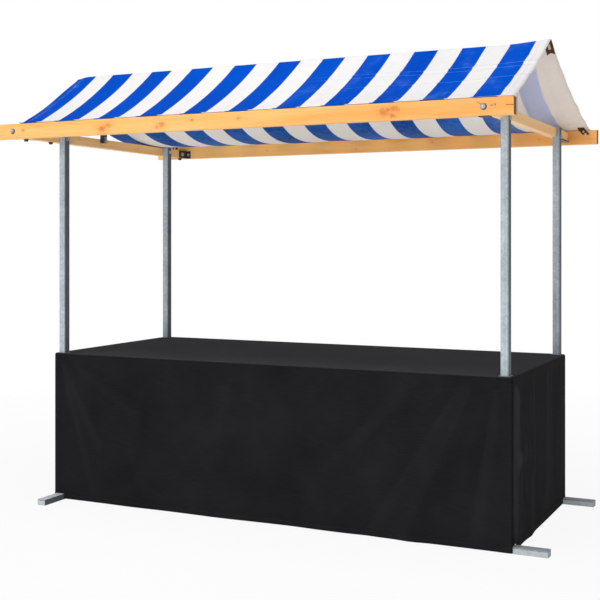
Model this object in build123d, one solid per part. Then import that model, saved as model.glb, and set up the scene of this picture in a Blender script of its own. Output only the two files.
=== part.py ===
"""Market stall: galvanised steel posts and feet, a pine roof frame, a striped
gable canopy and a table with a fitted cloth.

Frame: millimetres, +Z up, ground at Z = 0, X along the stall, Y from the
serving side (front, -Y) to the back, origin on the ground under the middle of
the overall box.
"""
from build123d import *
from math import exp, hypot, pi, sin
import os

os.makedirs("parts", exist_ok=True)

# ---------------------------------------------------------------- sizes (mm)
# Posts: square galvanised tube
TUBE = 40.0
TUBE_WALL = 2.0
TUBE_EDGE = 3.0             # outer corner radius of every tube
POST_SPAN_X = 2475.0        # post axis to post axis along the stall
POST_SPAN_Y = 1050.0        # post axis to post axis, front to back

# Feet: flat steel bars that the posts stand on
FOOT_WIDTH = 50.0
FOOT_HEIGHT = 30.0
FOOT_REACH = 200.0          # from the post axis to the far end
FOOT_TAIL = 28.0            # from the post axis to the near end
FOOT_EDGE = 2.0

# Roof beams and cross rails: planed pine
BEAM_UNDERSIDE = 1953.0
BEAM_HEIGHT = 78.0
BEAM_THICK = 45.0
BEAM_PAST_POSTS = 405.0     # beam length beyond the post span, both ends together
BEAM_EDGE = 2.5
FRONT_BEAM_LEFT = 285.0     # how much of that the front beam has at its left end
REAR_BEAM_LEFT = 245.0      # the same for the rear beam
FRONT_OVERHANG = 320.0      # front post axis to the front beam's outer face
REAR_OVERHANG = 320.0       # rear post axis to the rear beam's outer face
RAIL_THICK = 45.0
RAIL_HEIGHT = 50.0
RIGHT_RAIL_LIFT = 20.0      # the right rail lies this much above the beams' underside
RAIL_EDGE = 2.0
LEFT_RAIL_OUT = 20.0        # left post axis to the rail's inner face, outward
RIGHT_RAIL_OUT = 0.0        # right post axis to the rail's outer face, outward
NOTCH_GAP = 0.5             # beside a rail where it lies in a post's notch

# Brackets, cleats and bolts that hold the beams
PLATE = 4.0
BRACKET_WIDTH = 50.0
BRACKET_LEG = 62.0
CLEAT_ON_RAIL = 100.0
CLEAT_ON_BEAM = 28.0
CLEAT_HEIGHT = 48.0
BOLT_D = 10.0
BOLT_HEAD_D = 30.0
BOLT_HEAD_H = 7.0
BOLT_HOLE_GAP = 0.3         # radial
NUT_ACROSS = 17.0
NUT_HEIGHT = 8.0
SCREW_BITE = 60.0           # length of the front right screw inside its rail
SCREW_EDGE = 12.0           # that screw's axis from the rail's outer face

# King posts and ridge pole
KING_WIDTH = 40.0
KING_THICK = 25.0
KING_DROP = 22.0            # how far a king post reaches down its rail
RIDGE_WIDTH = 40.0
RIDGE_REAR = 12.5           # how much of that width lies behind the ridge line
RIDGE_DEPTH = 60.0
RIDGE_PAST_RAIL = 40.0      # ridge pole beyond each rail's outer face

# Canopy
RIDGE_TOP = 2375.0          # outer surface at the ridge
RIDGE_FORWARD = 145.0       # ridge in front of the roof's middle
CANOPY_THICK = 3.0
FRONT_SAG = 20.0            # of a slope, below its straight chord
TAUT_SAG = 42.0             # the same for the rear slope's tight right end
REAR_FALL = 145.0           # the slack rear slope drops to 1/e of its height in this run
BELLY_EASE = 6.5            # its belly's depth beyond the left rail's top, which that drop makes up
SLACK_END = 200.0           # the slack ends this far before the right post axis
RAIL_TAUT = 0.25            # how far it has drawn tight over the right rail
TAUT_START = 75.0           # it is tight from this far beyond that axis
SLOPE_POINTS = 17           # of each rear profile
CANOPY_PAST_LEFT = 130.0    # fabric edge beyond the left post axis
CANOPY_PAST_RIGHT = 120.0   # and beyond the right one
EAVE_HEM = 30.0             # flat hem that lies on the front beam
SOFT_GAP = 0.3              # between cloth and what carries it
BEVEL_GAP = 0.6             # the same where cloth curves over a flat bevel or bend
STRAP_GAP = 0.9             # and over a strap's straight bits

# Straps: brown webbing at the ridge ends and the rear corners
STRAP_WIDTH = 38.0
STRAP_THICK = 3.0
RIDGE_STRAP_LENGTH = 105.0
CORNER_STRAP_RUN = 55.0     # of a corner strap, under the fabric
CORNER_STRAP_DROP = 25.0    # and down the beam's inner face
STRAP_EDGE_GAP = 5.0        # from the fabric's edge
STRAP_STEP = 6.0            # level run of each straight bit of a ridge strap

# Table and its cloth
TABLE_HEIGHT = 800.0        # top of the cloth
BOARD_THICK = 22.0
BOARD_EDGE = 8.0            # radius of its upper edges and corners
BOARD_POST_GAP = 1.0
TABLE_RAIL = 40.0
TABLE_RAIL_WALL = 2.0
CLOTH_THICK = 2.0
CLOTH_OUT = 16.0            # inner face of the skirt beyond the posts' outer faces
CLOTH_POST_GAP = 1.5        # round each post where it passes the cloth
SKIRT_HEM = 5.0             # skirt hem above the ground
SKIRT_FOOT_GAP = 3.0        # round each foot where it passes the skirt

# ------------------------------------------------------------- worked places
POST_HALF = TUBE / 2
# along X: the origin is midway between whatever reaches out furthest
BEAM_LENGTH = POST_SPAN_X + BEAM_PAST_POSTS
PAST_LEFT = max(FRONT_BEAM_LEFT, REAR_BEAM_LEFT, FOOT_REACH)
PAST_RIGHT = max(BEAM_PAST_POSTS - min(FRONT_BEAM_LEFT, REAR_BEAM_LEFT), FOOT_REACH)
LEFT_X = (PAST_LEFT - PAST_RIGHT - POST_SPAN_X) / 2
RIGHT_X = LEFT_X + POST_SPAN_X
# along Y: the origin is midway between the beams' outer faces
ROOF_HALF = (FRONT_OVERHANG + POST_SPAN_Y + REAR_OVERHANG) / 2
BEAM_IN = ROOF_HALF - BEAM_THICK
FRONT_Y = FRONT_OVERHANG - ROOF_HALF
REAR_Y = FRONT_Y + POST_SPAN_Y

BEAM_TOP = BEAM_UNDERSIDE + BEAM_HEIGHT
BOLT_Z = BEAM_UNDERSIDE + BEAM_HEIGHT / 2

# the rails: their faces along X and their undersides
LEFT_RAIL = (LEFT_X - LEFT_RAIL_OUT - RAIL_THICK, LEFT_X - LEFT_RAIL_OUT)
RIGHT_RAIL = (RIGHT_X + RIGHT_RAIL_OUT - RAIL_THICK, RIGHT_X + RIGHT_RAIL_OUT)
LEFT_RAIL_LOW = BEAM_UNDERSIDE
RIGHT_RAIL_LOW = BEAM_UNDERSIDE + RIGHT_RAIL_LIFT

POSTS = {
    "front_left": (LEFT_X, FRONT_Y),
    "front_right": (RIGHT_X, FRONT_Y),
    "rear_left": (LEFT_X, REAR_Y),
    "rear_right": (RIGHT_X, REAR_Y),
}
# the way each foot points from its post: the front left one is turned
FOOT_TURNS = {"front_left": -90, "front_right": 0, "rear_left": 180, "rear_right": 0}

# the cleats: the rail's face that each is on, its way out from that face along X,
# the length of its leg on the beam, and the rail's underside
CLEATS = {
    "front_left": (LEFT_RAIL[0], -1, BRACKET_WIDTH, LEFT_RAIL_LOW),
    "rear_left": (LEFT_RAIL[1], 1, CLEAT_ON_BEAM, LEFT_RAIL_LOW),
    "rear_right": (RIGHT_RAIL[0], -1, CLEAT_ON_BEAM, RIGHT_RAIL_LOW),
}


def cleat_bolt_x(name):
    """Middle of the part of a cleat's beam leg that is clear of its other leg."""
    face, way, leg, _ = CLEATS[name]
    return face + way * (PLATE + leg) / 2


# the bolts: axis along X, height, and which beam, -1 front or 1 rear
BOLTS = {
    "front_left": (cleat_bolt_x("front_left"), BOLT_Z, -1),
    "front_right": (RIGHT_RAIL[1] - SCREW_EDGE, BOLT_Z, -1),
    "rear_left": (cleat_bolt_x("rear_left"), LEFT_RAIL_LOW + CLEAT_HEIGHT / 2, 1),
    "rear_right": (cleat_bolt_x("rear_right"), RIGHT_RAIL_LOW + CLEAT_HEIGHT / 2, 1),
}
SCREWED = "front_right"     # this bolt is a coach screw into the rail's end


def block(x0, x1, y0, y1, z0, z1):
    """A box between two corners, given in either order."""
    size = (abs(x1 - x0), abs(y1 - y0), abs(z1 - z0))
    middle = ((x0 + x1) / 2, (y0 + y1) / 2, (z0 + z1) / 2)
    return Pos(*middle) * Box(*size)


def rod(radius, x, y0, y1, z):
    """A round rod along Y between y0 and y1."""
    return Pos(x, (y0 + y1) / 2, z) * Rot(90, 0, 0) * Cylinder(radius, abs(y1 - y0))


def profile_bar(outline, x0, x1):
    """A closed outline of (y, z) points, drawn out along X."""
    plane = Plane(origin=(x0, 0, 0), x_dir=(0, 1, 0), z_dir=(1, 0, 0))
    with BuildSketch(plane) as sketch:
        with BuildLine():
            Polyline(*outline, close=True)
        make_face()
    return extrude(sketch.sketch, x1 - x0, dir=(1, 0, 0))


def save(shape, name):
    """Write one node as parts/NAME.step."""
    shape.label = name
    export_step(shape, f"parts/{name}.step")


# ---------------------------------------------------------------- steel legs
def make_foot(name):
    """Bar under a post, longer on the side that it is turned to."""
    x, y = POSTS[name]
    bar = block(-FOOT_TAIL, FOOT_REACH, -FOOT_WIDTH / 2, FOOT_WIDTH / 2, 0, FOOT_HEIGHT)
    bar = chamfer(bar.edges().filter_by(Axis.Z), FOOT_EDGE)
    return Pos(x, y, 0) * Rot(0, 0, FOOT_TURNS[name]) * bar


def make_post(name):
    """Square tube; a rail that crosses the tube lies in a notch at its top."""
    x, y = POSTS[name]
    rail, low = (LEFT_RAIL, LEFT_RAIL_LOW) if x == LEFT_X else (RIGHT_RAIL, RIGHT_RAIL_LOW)
    top = low + RAIL_HEIGHT
    post = block(x - POST_HALF, x + POST_HALF, y - POST_HALF, y + POST_HALF, FOOT_HEIGHT, top)
    post = fillet(post.edges().filter_by(Axis.Z), TUBE_EDGE)
    bore = POST_HALF - TUBE_WALL
    post -= block(x - bore, x + bore, y - bore, y + bore, FOOT_HEIGHT, top)
    if rail[1] > x - POST_HALF:
        post -= block(rail[0], rail[1] + NOTCH_GAP, y - TUBE, y + TUBE, low, top)
    return post


# ----------------------------------------------------------------- wood frame
def make_beam(side, past_left):
    """Long beam, side -1 at the front and 1 at the back, with its bolt holes."""
    face, inner = side * ROOF_HALF, side * BEAM_IN
    left = LEFT_X - past_left
    beam = block(left, left + BEAM_LENGTH, inner, face, BEAM_UNDERSIDE, BEAM_TOP)
    beam = fillet(beam.edges().filter_by(Axis.X), BEAM_EDGE)
    for bolt_x, bolt_z, bolt_side in BOLTS.values():
        if bolt_side == side:
            beam -= rod(BOLT_D / 2 + BOLT_HOLE_GAP, bolt_x, inner, face, bolt_z)
    return beam


def make_rail(x0, x1, low):
    """Cross rail between the beams, its front end on the bracket where it has one."""
    screw_x = BOLTS[SCREWED][0]
    screwed = x0 < screw_x < x1
    front = -BEAM_IN + PLATE if screwed else -BEAM_IN
    rail = block(x0, x1, front, BEAM_IN, low, low + RAIL_HEIGHT)
    rail = fillet(rail.edges().filter_by(Axis.Y), RAIL_EDGE)
    if screwed:
        rail -= rod(BOLT_D / 2 + BOLT_HOLE_GAP, screw_x, front, front + SCREW_BITE + 1, BOLT_Z)
    return rail


def make_bracket(name):
    """Angle plate: a leg on the front beam's inner face, a flange under it."""
    x, z, side = BOLTS[name]
    x0, x1 = x - BRACKET_WIDTH / 2, x + BRACKET_WIDTH / 2
    inner, leg_in = side * BEAM_IN, side * (BEAM_IN - PLATE)
    low = BEAM_UNDERSIDE - PLATE
    leg = block(x0, x1, inner, leg_in, low, low + BRACKET_LEG)
    flange = block(x0, x1, leg_in, side * (ROOF_HALF - BEAM_EDGE), low, BEAM_UNDERSIDE)
    return leg + flange - rod(BOLT_D / 2 + BOLT_HOLE_GAP, x, inner, leg_in, z)


def make_cleat(name):
    """Angle cleat in the corner between a rail and a beam."""
    x, z, side = BOLTS[name]
    face, way, leg, low = CLEATS[name]
    inner, leg_in = side * BEAM_IN, side * (BEAM_IN - PLATE)
    top = low + CLEAT_HEIGHT
    on_rail = block(face, face + way * PLATE, side * (BEAM_IN - CLEAT_ON_RAIL), inner, low, top)
    on_beam = block(face, face + way * leg, leg_in, inner, low, top)
    return on_rail + on_beam - rod(BOLT_D / 2 + BOLT_HOLE_GAP, x, leg_in, inner, z)


def make_bolt(name):
    """Domed bolt through beam and plate, ending in a nut or in the rail."""
    x, z, side = BOLTS[name]
    face, leg_in = side * ROOF_HALF, side * (BEAM_IN - PLATE)
    dome_r = (BOLT_HEAD_D**2 / 4 + BOLT_HEAD_H**2) / (2 * BOLT_HEAD_H)
    dome = Pos(x, face - side * (dome_r - BOLT_HEAD_H), z) * Sphere(dome_r)
    dome &= rod(BOLT_HEAD_D / 2, x, face, face + side * BOLT_HEAD_H, z)
    if name == SCREWED:
        return dome + rod(BOLT_D / 2, x, face, leg_in - side * SCREW_BITE, z)
    tip = leg_in - side * NUT_HEIGHT
    nut = extrude(RegularPolygon(NUT_ACROSS / 2, 6, major_radius=False), NUT_HEIGHT)
    nut = Pos(x, max(leg_in, tip), z) * Rot(90, 0, 0) * nut
    return dome + rod(BOLT_D / 2, x, face, tip, z) + nut


# ------------------------------------------------------------------- the roof
RIDGE_Y = -RIDGE_FORWARD
RIDGE_UNDER = RIDGE_TOP - CANOPY_THICK
EAVE_UNDER = BEAM_TOP + SOFT_GAP
FRONT_HEM = EAVE_HEM - ROOF_HALF    # where each hem starts
REAR_HEM = BEAM_IN
CANOPY_LEFT = LEFT_X - CANOPY_PAST_LEFT
CANOPY_RIGHT = RIGHT_X + CANOPY_PAST_RIGHT
FRONT_RUN = RIDGE_Y - FRONT_HEM     # level distance from the ridge to each hem
REAR_RUN = REAR_HEM - RIDGE_Y
REAR_BELLY = BEAM_HEIGHT - RAIL_HEIGHT + BELLY_EASE


def chord_z(share, sag):
    """Underside at a share of the run, for a slope that sags below its chord."""
    return RIDGE_UNDER + (EAVE_UNDER - RIDGE_UNDER) * share - 4 * sag * share * (1 - share)


def front_under(out):
    """Underside of the front slope at a level distance out from the ridge."""
    return chord_z(out / FRONT_RUN, FRONT_SAG)


def taut_under(out):
    """Underside of the rear slope at its tight right end."""
    return chord_z(out / REAR_RUN, TAUT_SAG)


def slack_under(out):
    """Underside of the rest of the rear slope: it drops from the ridge and hangs in a belly."""
    share = out / REAR_RUN
    drop = exp(-out / REAR_FALL) - share * exp(-REAR_RUN / REAR_FALL)
    return EAVE_UNDER + (RIDGE_UNDER - EAVE_UNDER) * drop - REAR_BELLY * sin(pi * share)


def rail_under(out):
    """Underside of the rear slope over the middle of the right rail."""
    return slack_under(out) + RAIL_TAUT * (taut_under(out) - slack_under(out))


def shifted(points, by):
    """A run of (y, z) points that goes towards +y, moved up square to itself."""
    moved = []
    last = len(points) - 1
    for i, (y, z) in enumerate(points):
        (y0, z0), (y1, z1) = points[max(i - 1, 0)], points[min(i + 1, last)]
        length = hypot(y1 - y0, z1 - z0)
        moved.append((y - by * (z1 - z0) / length, z + by * (y1 - y0) / length))
    return moved


def make_front_slope():
    """Sagging sheet from the ridge to a flat hem on the front beam."""
    low = [
        (RIDGE_Y - SOFT_GAP / 2, RIDGE_UNDER),
        (RIDGE_Y - FRONT_RUN / 2, (RIDGE_UNDER + EAVE_UNDER) / 2 - 2 * FRONT_SAG),
        (FRONT_HEM, EAVE_UNDER),
    ]
    high = [(y, z + CANOPY_THICK) for y, z in low]
    plane = Plane(origin=(CANOPY_LEFT, 0, 0), x_dir=(0, 1, 0), z_dir=(1, 0, 0))
    with BuildSketch(plane) as sketch:
        with BuildLine():
            Bezier(*low)
            Polyline(low[2], (-ROOF_HALF, EAVE_UNDER), (-ROOF_HALF, EAVE_UNDER + CANOPY_THICK), high[2])
            Bezier(*reversed(high))
            Line(high[0], low[0])
        make_face()
    return extrude(sketch.sketch, CANOPY_RIGHT - CANOPY_LEFT, dir=(1, 0, 0))


def rear_section(x, under):
    """Cross section of the rear slope at one place along the stall."""
    start = SOFT_GAP / 2
    step = (REAR_RUN - start) / (SLOPE_POINTS - 1)
    outs = [start + step * i for i in range(SLOPE_POINTS)]
    low = [(RIDGE_Y + out, under(out)) for out in outs]
    high = shifted(low, CANOPY_THICK)
    plane = Plane(origin=(x, 0, 0), x_dir=(0, 1, 0), z_dir=(1, 0, 0))
    with BuildSketch(plane) as sketch:
        with BuildLine():
            Spline(*low)
            Polyline(low[-1], (ROOF_HALF, EAVE_UNDER), (ROOF_HALF, EAVE_UNDER + CANOPY_THICK), high[-1])
            Spline(*reversed(high))
            Line(high[0], low[0])
        make_face()
    return sketch.sketch.faces()[0]


def make_rear_slope():
    """Sheet that hangs slack between the ridge and the rear beam, and tight at the right."""
    sections = [
        rear_section(CANOPY_LEFT, slack_under),
        rear_section(RIGHT_X - SLACK_END, slack_under),
        rear_section(sum(RIGHT_RAIL) / 2, rail_under),
        rear_section(RIGHT_X + TAUT_START, taut_under),
        rear_section(CANOPY_RIGHT, taut_under),
    ]
    return loft(sections, ruled=True)


RIDGE_FOOT = RIDGE_UNDER - SOFT_GAP - RIDGE_DEPTH


def make_ridge_pole():
    """Pole under the ridge, its top bevelled to the two slopes."""
    front, rear = RIDGE_WIDTH - RIDGE_REAR, RIDGE_REAR
    outline = [
        (RIDGE_Y - front, RIDGE_FOOT),
        (RIDGE_Y + rear, RIDGE_FOOT),
        (RIDGE_Y + rear, slack_under(rear) - BEVEL_GAP),
        (RIDGE_Y + rear / 2, slack_under(rear / 2) - BEVEL_GAP),
        (RIDGE_Y, RIDGE_UNDER - SOFT_GAP),
        (RIDGE_Y - front, front_under(front) - SOFT_GAP),
    ]
    return profile_bar(outline, LEFT_RAIL[0] - RIDGE_PAST_RAIL, RIGHT_RAIL[1] + RIDGE_PAST_RAIL)


def make_king_post(x0, rail_low):
    """Short steel post from a rail's inner face up to the ridge pole."""
    y0, y1 = RIDGE_Y - KING_WIDTH / 2, RIDGE_Y + RIDGE_REAR
    return block(x0, x0 + KING_THICK, y0, y1, rail_low + RAIL_HEIGHT - KING_DROP, RIDGE_FOOT)


def make_ridge_strap(x0, under):
    """Webbing on the inside of the rear slope at one end of the ridge."""
    out, length = 2 * RIDGE_REAR, 0.0
    run = [(RIDGE_Y + out, under(out))]
    while length < RIDGE_STRAP_LENGTH:
        out += STRAP_STEP
        length += hypot(STRAP_STEP, under(out) - under(out - STRAP_STEP))
        run.append((RIDGE_Y + out, under(out)))
    upper = shifted(run, -STRAP_GAP)
    lower = shifted(run, -STRAP_GAP - STRAP_THICK)
    return profile_bar(upper + lower[::-1], x0, x0 + STRAP_WIDTH)


def make_corner_strap(x0, under):
    """Webbing that runs under one rear corner of the canopy and down the beam's inner face."""
    back = BEAM_IN - SOFT_GAP
    far = back - CORNER_STRAP_RUN
    bend_z, far_z = under(back - RIDGE_Y) - BEVEL_GAP, under(far - RIDGE_Y) - BEVEL_GAP
    outline = [
        (back, BEAM_TOP - CORNER_STRAP_DROP),
        (back, bend_z),
        (far, far_z),
        (far, far_z - STRAP_THICK),
        (back - STRAP_THICK, bend_z - STRAP_THICK),
        (back - STRAP_THICK, BEAM_TOP - CORNER_STRAP_DROP),
    ]
    return profile_bar(outline, x0, x0 + STRAP_WIDTH)


# ------------------------------------------------------------------ the table
CLOTH_LEFT = LEFT_X - POST_HALF - CLOTH_OUT
CLOTH_RIGHT = RIGHT_X + POST_HALF + CLOTH_OUT
CLOTH_FRONT = FRONT_Y - POST_HALF - CLOTH_OUT
CLOTH_REAR = REAR_Y + POST_HALF + CLOTH_OUT
CLOTH_UNDER = TABLE_HEIGHT - CLOTH_THICK
BOARD_TOP = CLOTH_UNDER - SOFT_GAP
RAILS_TOP = BOARD_TOP - BOARD_THICK


def make_table_rail_x(y):
    """Square tube between two posts, along the stall."""
    half, bore = TABLE_RAIL / 2, TABLE_RAIL / 2 - TABLE_RAIL_WALL
    x0, x1 = LEFT_X + POST_HALF, RIGHT_X - POST_HALF
    middle = RAILS_TOP - half
    tube = block(x0, x1, y - half, y + half, middle - half, middle + half)
    tube = fillet(tube.edges().filter_by(Axis.X), TUBE_EDGE)
    return tube - block(x0, x1, y - bore, y + bore, middle - bore, middle + bore)


def make_table_rail_y(x):
    """Square tube between two posts, front to back."""
    half, bore = TABLE_RAIL / 2, TABLE_RAIL / 2 - TABLE_RAIL_WALL
    y0, y1 = FRONT_Y + POST_HALF, REAR_Y - POST_HALF
    middle = RAILS_TOP - half
    tube = block(x - half, x + half, y0, y1, middle - half, middle + half)
    tube = fillet(tube.edges().filter_by(Axis.Y), TUBE_EDGE)
    return tube - block(x - bore, x + bore, y0, y1, middle - bore, middle + bore)


def make_board():
    """Table board, its corners cut back round the posts."""
    gap = SOFT_GAP
    x0, x1 = CLOTH_LEFT + gap, CLOTH_RIGHT - gap
    y0, y1 = CLOTH_FRONT + gap, CLOTH_REAR - gap
    board = block(x0, x1, y0, y1, RAILS_TOP, BOARD_TOP)
    board = fillet(board.edges().group_by(Axis.Z)[-1], BOARD_EDGE)
    reach = POST_HALF + BOARD_POST_GAP
    for x, y in POSTS.values():
        corner_x, way_x = (x0, -1) if x == LEFT_X else (x1, 1)
        corner_y, way_y = (y0, -1) if y == FRONT_Y else (y1, 1)
        board -= block(x - way_x * reach, corner_x, y - way_y * reach, corner_y, RAILS_TOP, BOARD_TOP)
    return board


def make_cloth_top():
    """Top panel of the cloth, with a square hole round each post."""
    out = CLOTH_THICK
    top = block(
        CLOTH_LEFT - out, CLOTH_RIGHT + out, CLOTH_FRONT - out, CLOTH_REAR + out,
        CLOTH_UNDER, TABLE_HEIGHT,
    )
    reach = POST_HALF + CLOTH_POST_GAP
    for x, y in POSTS.values():
        top -= block(x - reach, x + reach, y - reach, y + reach, CLOTH_UNDER, TABLE_HEIGHT)
    return top


def make_skirt(x0, x1, y0, y1):
    """One hanging panel of the cloth, cut out over each foot it meets."""
    skirt = block(x0, x1, y0, y1, SKIRT_HEM, CLOTH_UNDER - SOFT_GAP)
    side = FOOT_WIDTH / 2 + SKIRT_FOOT_GAP
    top = FOOT_HEIGHT + SKIRT_FOOT_GAP
    for name, (x, y) in POSTS.items():
        room = block(-FOOT_TAIL, FOOT_REACH, -side, side, 0, top)
        skirt -= Pos(x, y, 0) * Rot(0, 0, FOOT_TURNS[name]) * room
    return skirt


# ---------------------------------------------------------------- write nodes
for corner in POSTS:
    save(make_foot(corner), f"foot_{corner}")
    save(make_post(corner), f"post_{corner}")

save(make_beam(-1, FRONT_BEAM_LEFT), "beam_front")
save(make_beam(1, REAR_BEAM_LEFT), "beam_rear")
save(make_rail(*LEFT_RAIL, LEFT_RAIL_LOW), "cross_rail_left")
save(make_rail(*RIGHT_RAIL, RIGHT_RAIL_LOW), "cross_rail_right")
save(make_bracket("front_right"), "beam_bracket_right")
for corner in CLEATS:
    save(make_cleat(corner), f"rail_cleat_{corner}")
for corner in BOLTS:
    save(make_bolt(corner), f"beam_bolt_{corner}")

save(make_king_post(LEFT_RAIL[1], LEFT_RAIL_LOW), "king_post_left")
save(make_king_post(RIGHT_RAIL[0] - KING_THICK, RIGHT_RAIL_LOW), "king_post_right")
save(make_ridge_pole(), "ridge_pole")
save(make_front_slope(), "canopy_front_slope")
save(make_rear_slope(), "canopy_rear_slope")

strap_left = CANOPY_LEFT + STRAP_EDGE_GAP
strap_right = CANOPY_RIGHT - STRAP_EDGE_GAP - STRAP_WIDTH
save(make_ridge_strap(strap_left, slack_under), "ridge_strap_left")
save(make_ridge_strap(strap_right, taut_under), "ridge_strap_right")
save(make_corner_strap(strap_left, slack_under), "corner_strap_left")
save(make_corner_strap(strap_right, taut_under), "corner_strap_right")

save(make_table_rail_x(FRONT_Y), "table_rail_front")
save(make_table_rail_x(REAR_Y), "table_rail_rear")
save(make_table_rail_y(LEFT_X), "table_rail_left")
save(make_table_rail_y(RIGHT_X), "table_rail_right")
save(make_board(), "table_board")

# the skirts meet at the corners: the long ones cover the ends of the short ones
long_x = (CLOTH_LEFT - CLOTH_THICK, CLOTH_RIGHT + CLOTH_THICK)
short_y = (CLOTH_FRONT + SOFT_GAP, CLOTH_REAR - SOFT_GAP)
save(make_cloth_top(), "cloth_top")
save(make_skirt(*long_x, CLOTH_FRONT - CLOTH_THICK, CLOTH_FRONT), "skirt_front")
save(make_skirt(*long_x, CLOTH_REAR, CLOTH_REAR + CLOTH_THICK), "skirt_rear")
save(make_skirt(CLOTH_LEFT - CLOTH_THICK, CLOTH_LEFT, *short_y), "skirt_left")
save(make_skirt(CLOTH_RIGHT, CLOTH_RIGHT + CLOTH_THICK, *short_y), "skirt_right")
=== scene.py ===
"""A market stall: galvanised posts on steel feet, a pine roof frame, a blue and
white striped canopy held by webbing straps, and a table under a fitted black cloth.
"""
import math
import random
import bmesh
import bpy
import numpy as np
from mathutils import Matrix, Vector


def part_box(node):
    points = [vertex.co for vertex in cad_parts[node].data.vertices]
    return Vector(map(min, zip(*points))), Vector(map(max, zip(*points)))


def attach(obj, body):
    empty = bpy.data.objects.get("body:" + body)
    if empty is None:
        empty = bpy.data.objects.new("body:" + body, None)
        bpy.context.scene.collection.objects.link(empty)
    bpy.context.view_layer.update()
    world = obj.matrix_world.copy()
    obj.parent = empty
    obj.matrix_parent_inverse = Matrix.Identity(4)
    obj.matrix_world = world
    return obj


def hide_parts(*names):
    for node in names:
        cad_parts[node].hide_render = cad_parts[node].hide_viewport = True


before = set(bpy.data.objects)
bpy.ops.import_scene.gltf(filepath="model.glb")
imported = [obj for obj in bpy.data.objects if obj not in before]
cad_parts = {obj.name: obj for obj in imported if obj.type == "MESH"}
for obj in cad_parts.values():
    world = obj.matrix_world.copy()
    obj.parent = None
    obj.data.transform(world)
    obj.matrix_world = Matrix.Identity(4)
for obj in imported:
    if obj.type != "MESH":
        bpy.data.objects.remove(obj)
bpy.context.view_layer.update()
scene = bpy.context.scene
scene.view_settings.view_transform = "Standard"


# ------------------------------------------------------------------ the studio
# A white floor and background that keep a soft shadow under the stall, and the
# camera in front of the stall's right half, level, at a little under eye height.
def set_inputs(tree, node, inputs):
    """Gives a node's sockets, named or numbered, a value or a link each."""
    for key, value in dict(inputs).items():
        value = getattr(value, "socket", value)
        if isinstance(value, bpy.types.NodeSocket):
            tree.links.new(value, node.inputs[key])
        else:
            node.inputs[key].default_value = value


def add_node(tree, kind, inputs=(), **settings):
    """One node with its settings and inputs."""
    node = tree.nodes.new(kind)
    for key, value in settings.items():
        setattr(node, key, value)
    set_inputs(tree, node, inputs)
    return node


class Wire:
    """A node's result that adds, multiplies and compares like a number."""
    def __init__(self, tree, socket):
        self.tree, self.socket = tree, socket

    def __add__(self, other):
        return calc(self.tree, "ADD", self, other)

    def __sub__(self, other):
        return calc(self.tree, "SUBTRACT", self, other)

    def __rsub__(self, other):
        return calc(self.tree, "SUBTRACT", other, self)

    def __mul__(self, other):
        return calc(self.tree, "MULTIPLY", self, other)

    def __gt__(self, other):
        return calc(self.tree, "GREATER_THAN", self, other)

    def __lt__(self, other):
        return calc(self.tree, "LESS_THAN", self, other)

    def __abs__(self):
        return calc(self.tree, "ABSOLUTE", self)

    __radd__, __rmul__ = __add__, __mul__


def calc(tree, operation, first, *others):
    """A Math node's result; further values are taken in one after the other."""
    for other in others or (0.0,):
        node = add_node(tree, "ShaderNodeMath", {0: first, 1: other}, operation=operation)
        first = Wire(tree, node.outputs[0])
    return first


def map_range(tree, value, low, high, to_low=0.0, to_high=1.0, smooth=False):
    """A value's range low to high brought to another, held at its ends."""
    kind = "SMOOTHSTEP" if smooth else "LINEAR"
    sockets = {"Value": value, "From Min": low, "From Max": high, "To Min": to_low, "To Max": to_high}
    return Wire(tree, add_node(tree, "ShaderNodeMapRange", sockets, interpolation_type=kind).outputs[0])


def coordinates(tree, kind):
    """The places (Object), face directions (Normal) or other texture coordinates."""
    return add_node(tree, "ShaderNodeTexCoord").outputs[kind]


def seen_directly(tree):
    """1 for the rays that show the surroundings themselves."""
    path = add_node(tree, "ShaderNodeLightPath").outputs
    return calc(tree, "MAXIMUM", path["Is Camera Ray"], path["Is Transmission Ray"])


WHITE = (1.0, 1.0, 1.0, 1.0)
SKY_RIGHT, SKY_LEFT = 0.44, 0.42    # the surroundings' light, from the right and from the front left
FRONT_LEFT_WAY = (-0.58, -0.78, 0.22)
world = bpy.data.worlds.new("studio_white")
scene.world = world
world.use_nodes = True
sky = world.node_tree
sky.nodes.clear()
toward_left = add_node(sky, "ShaderNodeVectorMath", {0: coordinates(sky, "Generated"), 1: FRONT_LEFT_WAY},
                       operation="DOT_PRODUCT")
level = map_range(sky, toward_left.outputs["Value"], -0.6, 0.7, SKY_RIGHT, SKY_LEFT)
sky_light = add_node(sky, "ShaderNodeBackground", {"Color": WHITE, "Strength": level}).outputs[0]
sky_seen = add_node(sky, "ShaderNodeBackground", {"Color": WHITE, "Strength": 1.0}).outputs[0]
sky_mix = add_node(sky, "ShaderNodeMixShader", {0: seen_directly(sky), 1: sky_light, 2: sky_seen})
add_node(sky, "ShaderNodeOutputWorld", {"Surface": sky_mix.outputs[0]})

FLOOR_HALF = 40.0
SHADOW_SHARE = 0.09         # how much of the floor's own shading shows
FLOOR_FILL = 0.46           # the studio floor's own light on what stands over it
SHADOW_REACH = 5.5          # the shading fades out this far from the stall
floor_mesh = bpy.data.meshes.new("studio_floor")
floor_mesh.from_pydata([(x, y, 0) for x, y in ((-1, -1), (1, -1), (1, 1), (-1, 1))], [], [(0, 1, 2, 3)])
floor_mesh.transform(Matrix.Scale(FLOOR_HALF, 4))
floor = bpy.data.objects.new("studio_floor", floor_mesh)
scene.collection.objects.link(floor)
floor_finish = bpy.data.materials.new("studio_floor")
floor_finish.use_nodes = True
tree = floor_finish.node_tree
tree.nodes.clear()
away = add_node(tree, "ShaderNodeVectorMath", {0: coordinates(tree, "Object")}, operation="LENGTH")
fade = map_range(tree, away.outputs["Value"], SHADOW_REACH * 0.4, SHADOW_REACH, 1 - SHADOW_SHARE, 1.0)
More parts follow.
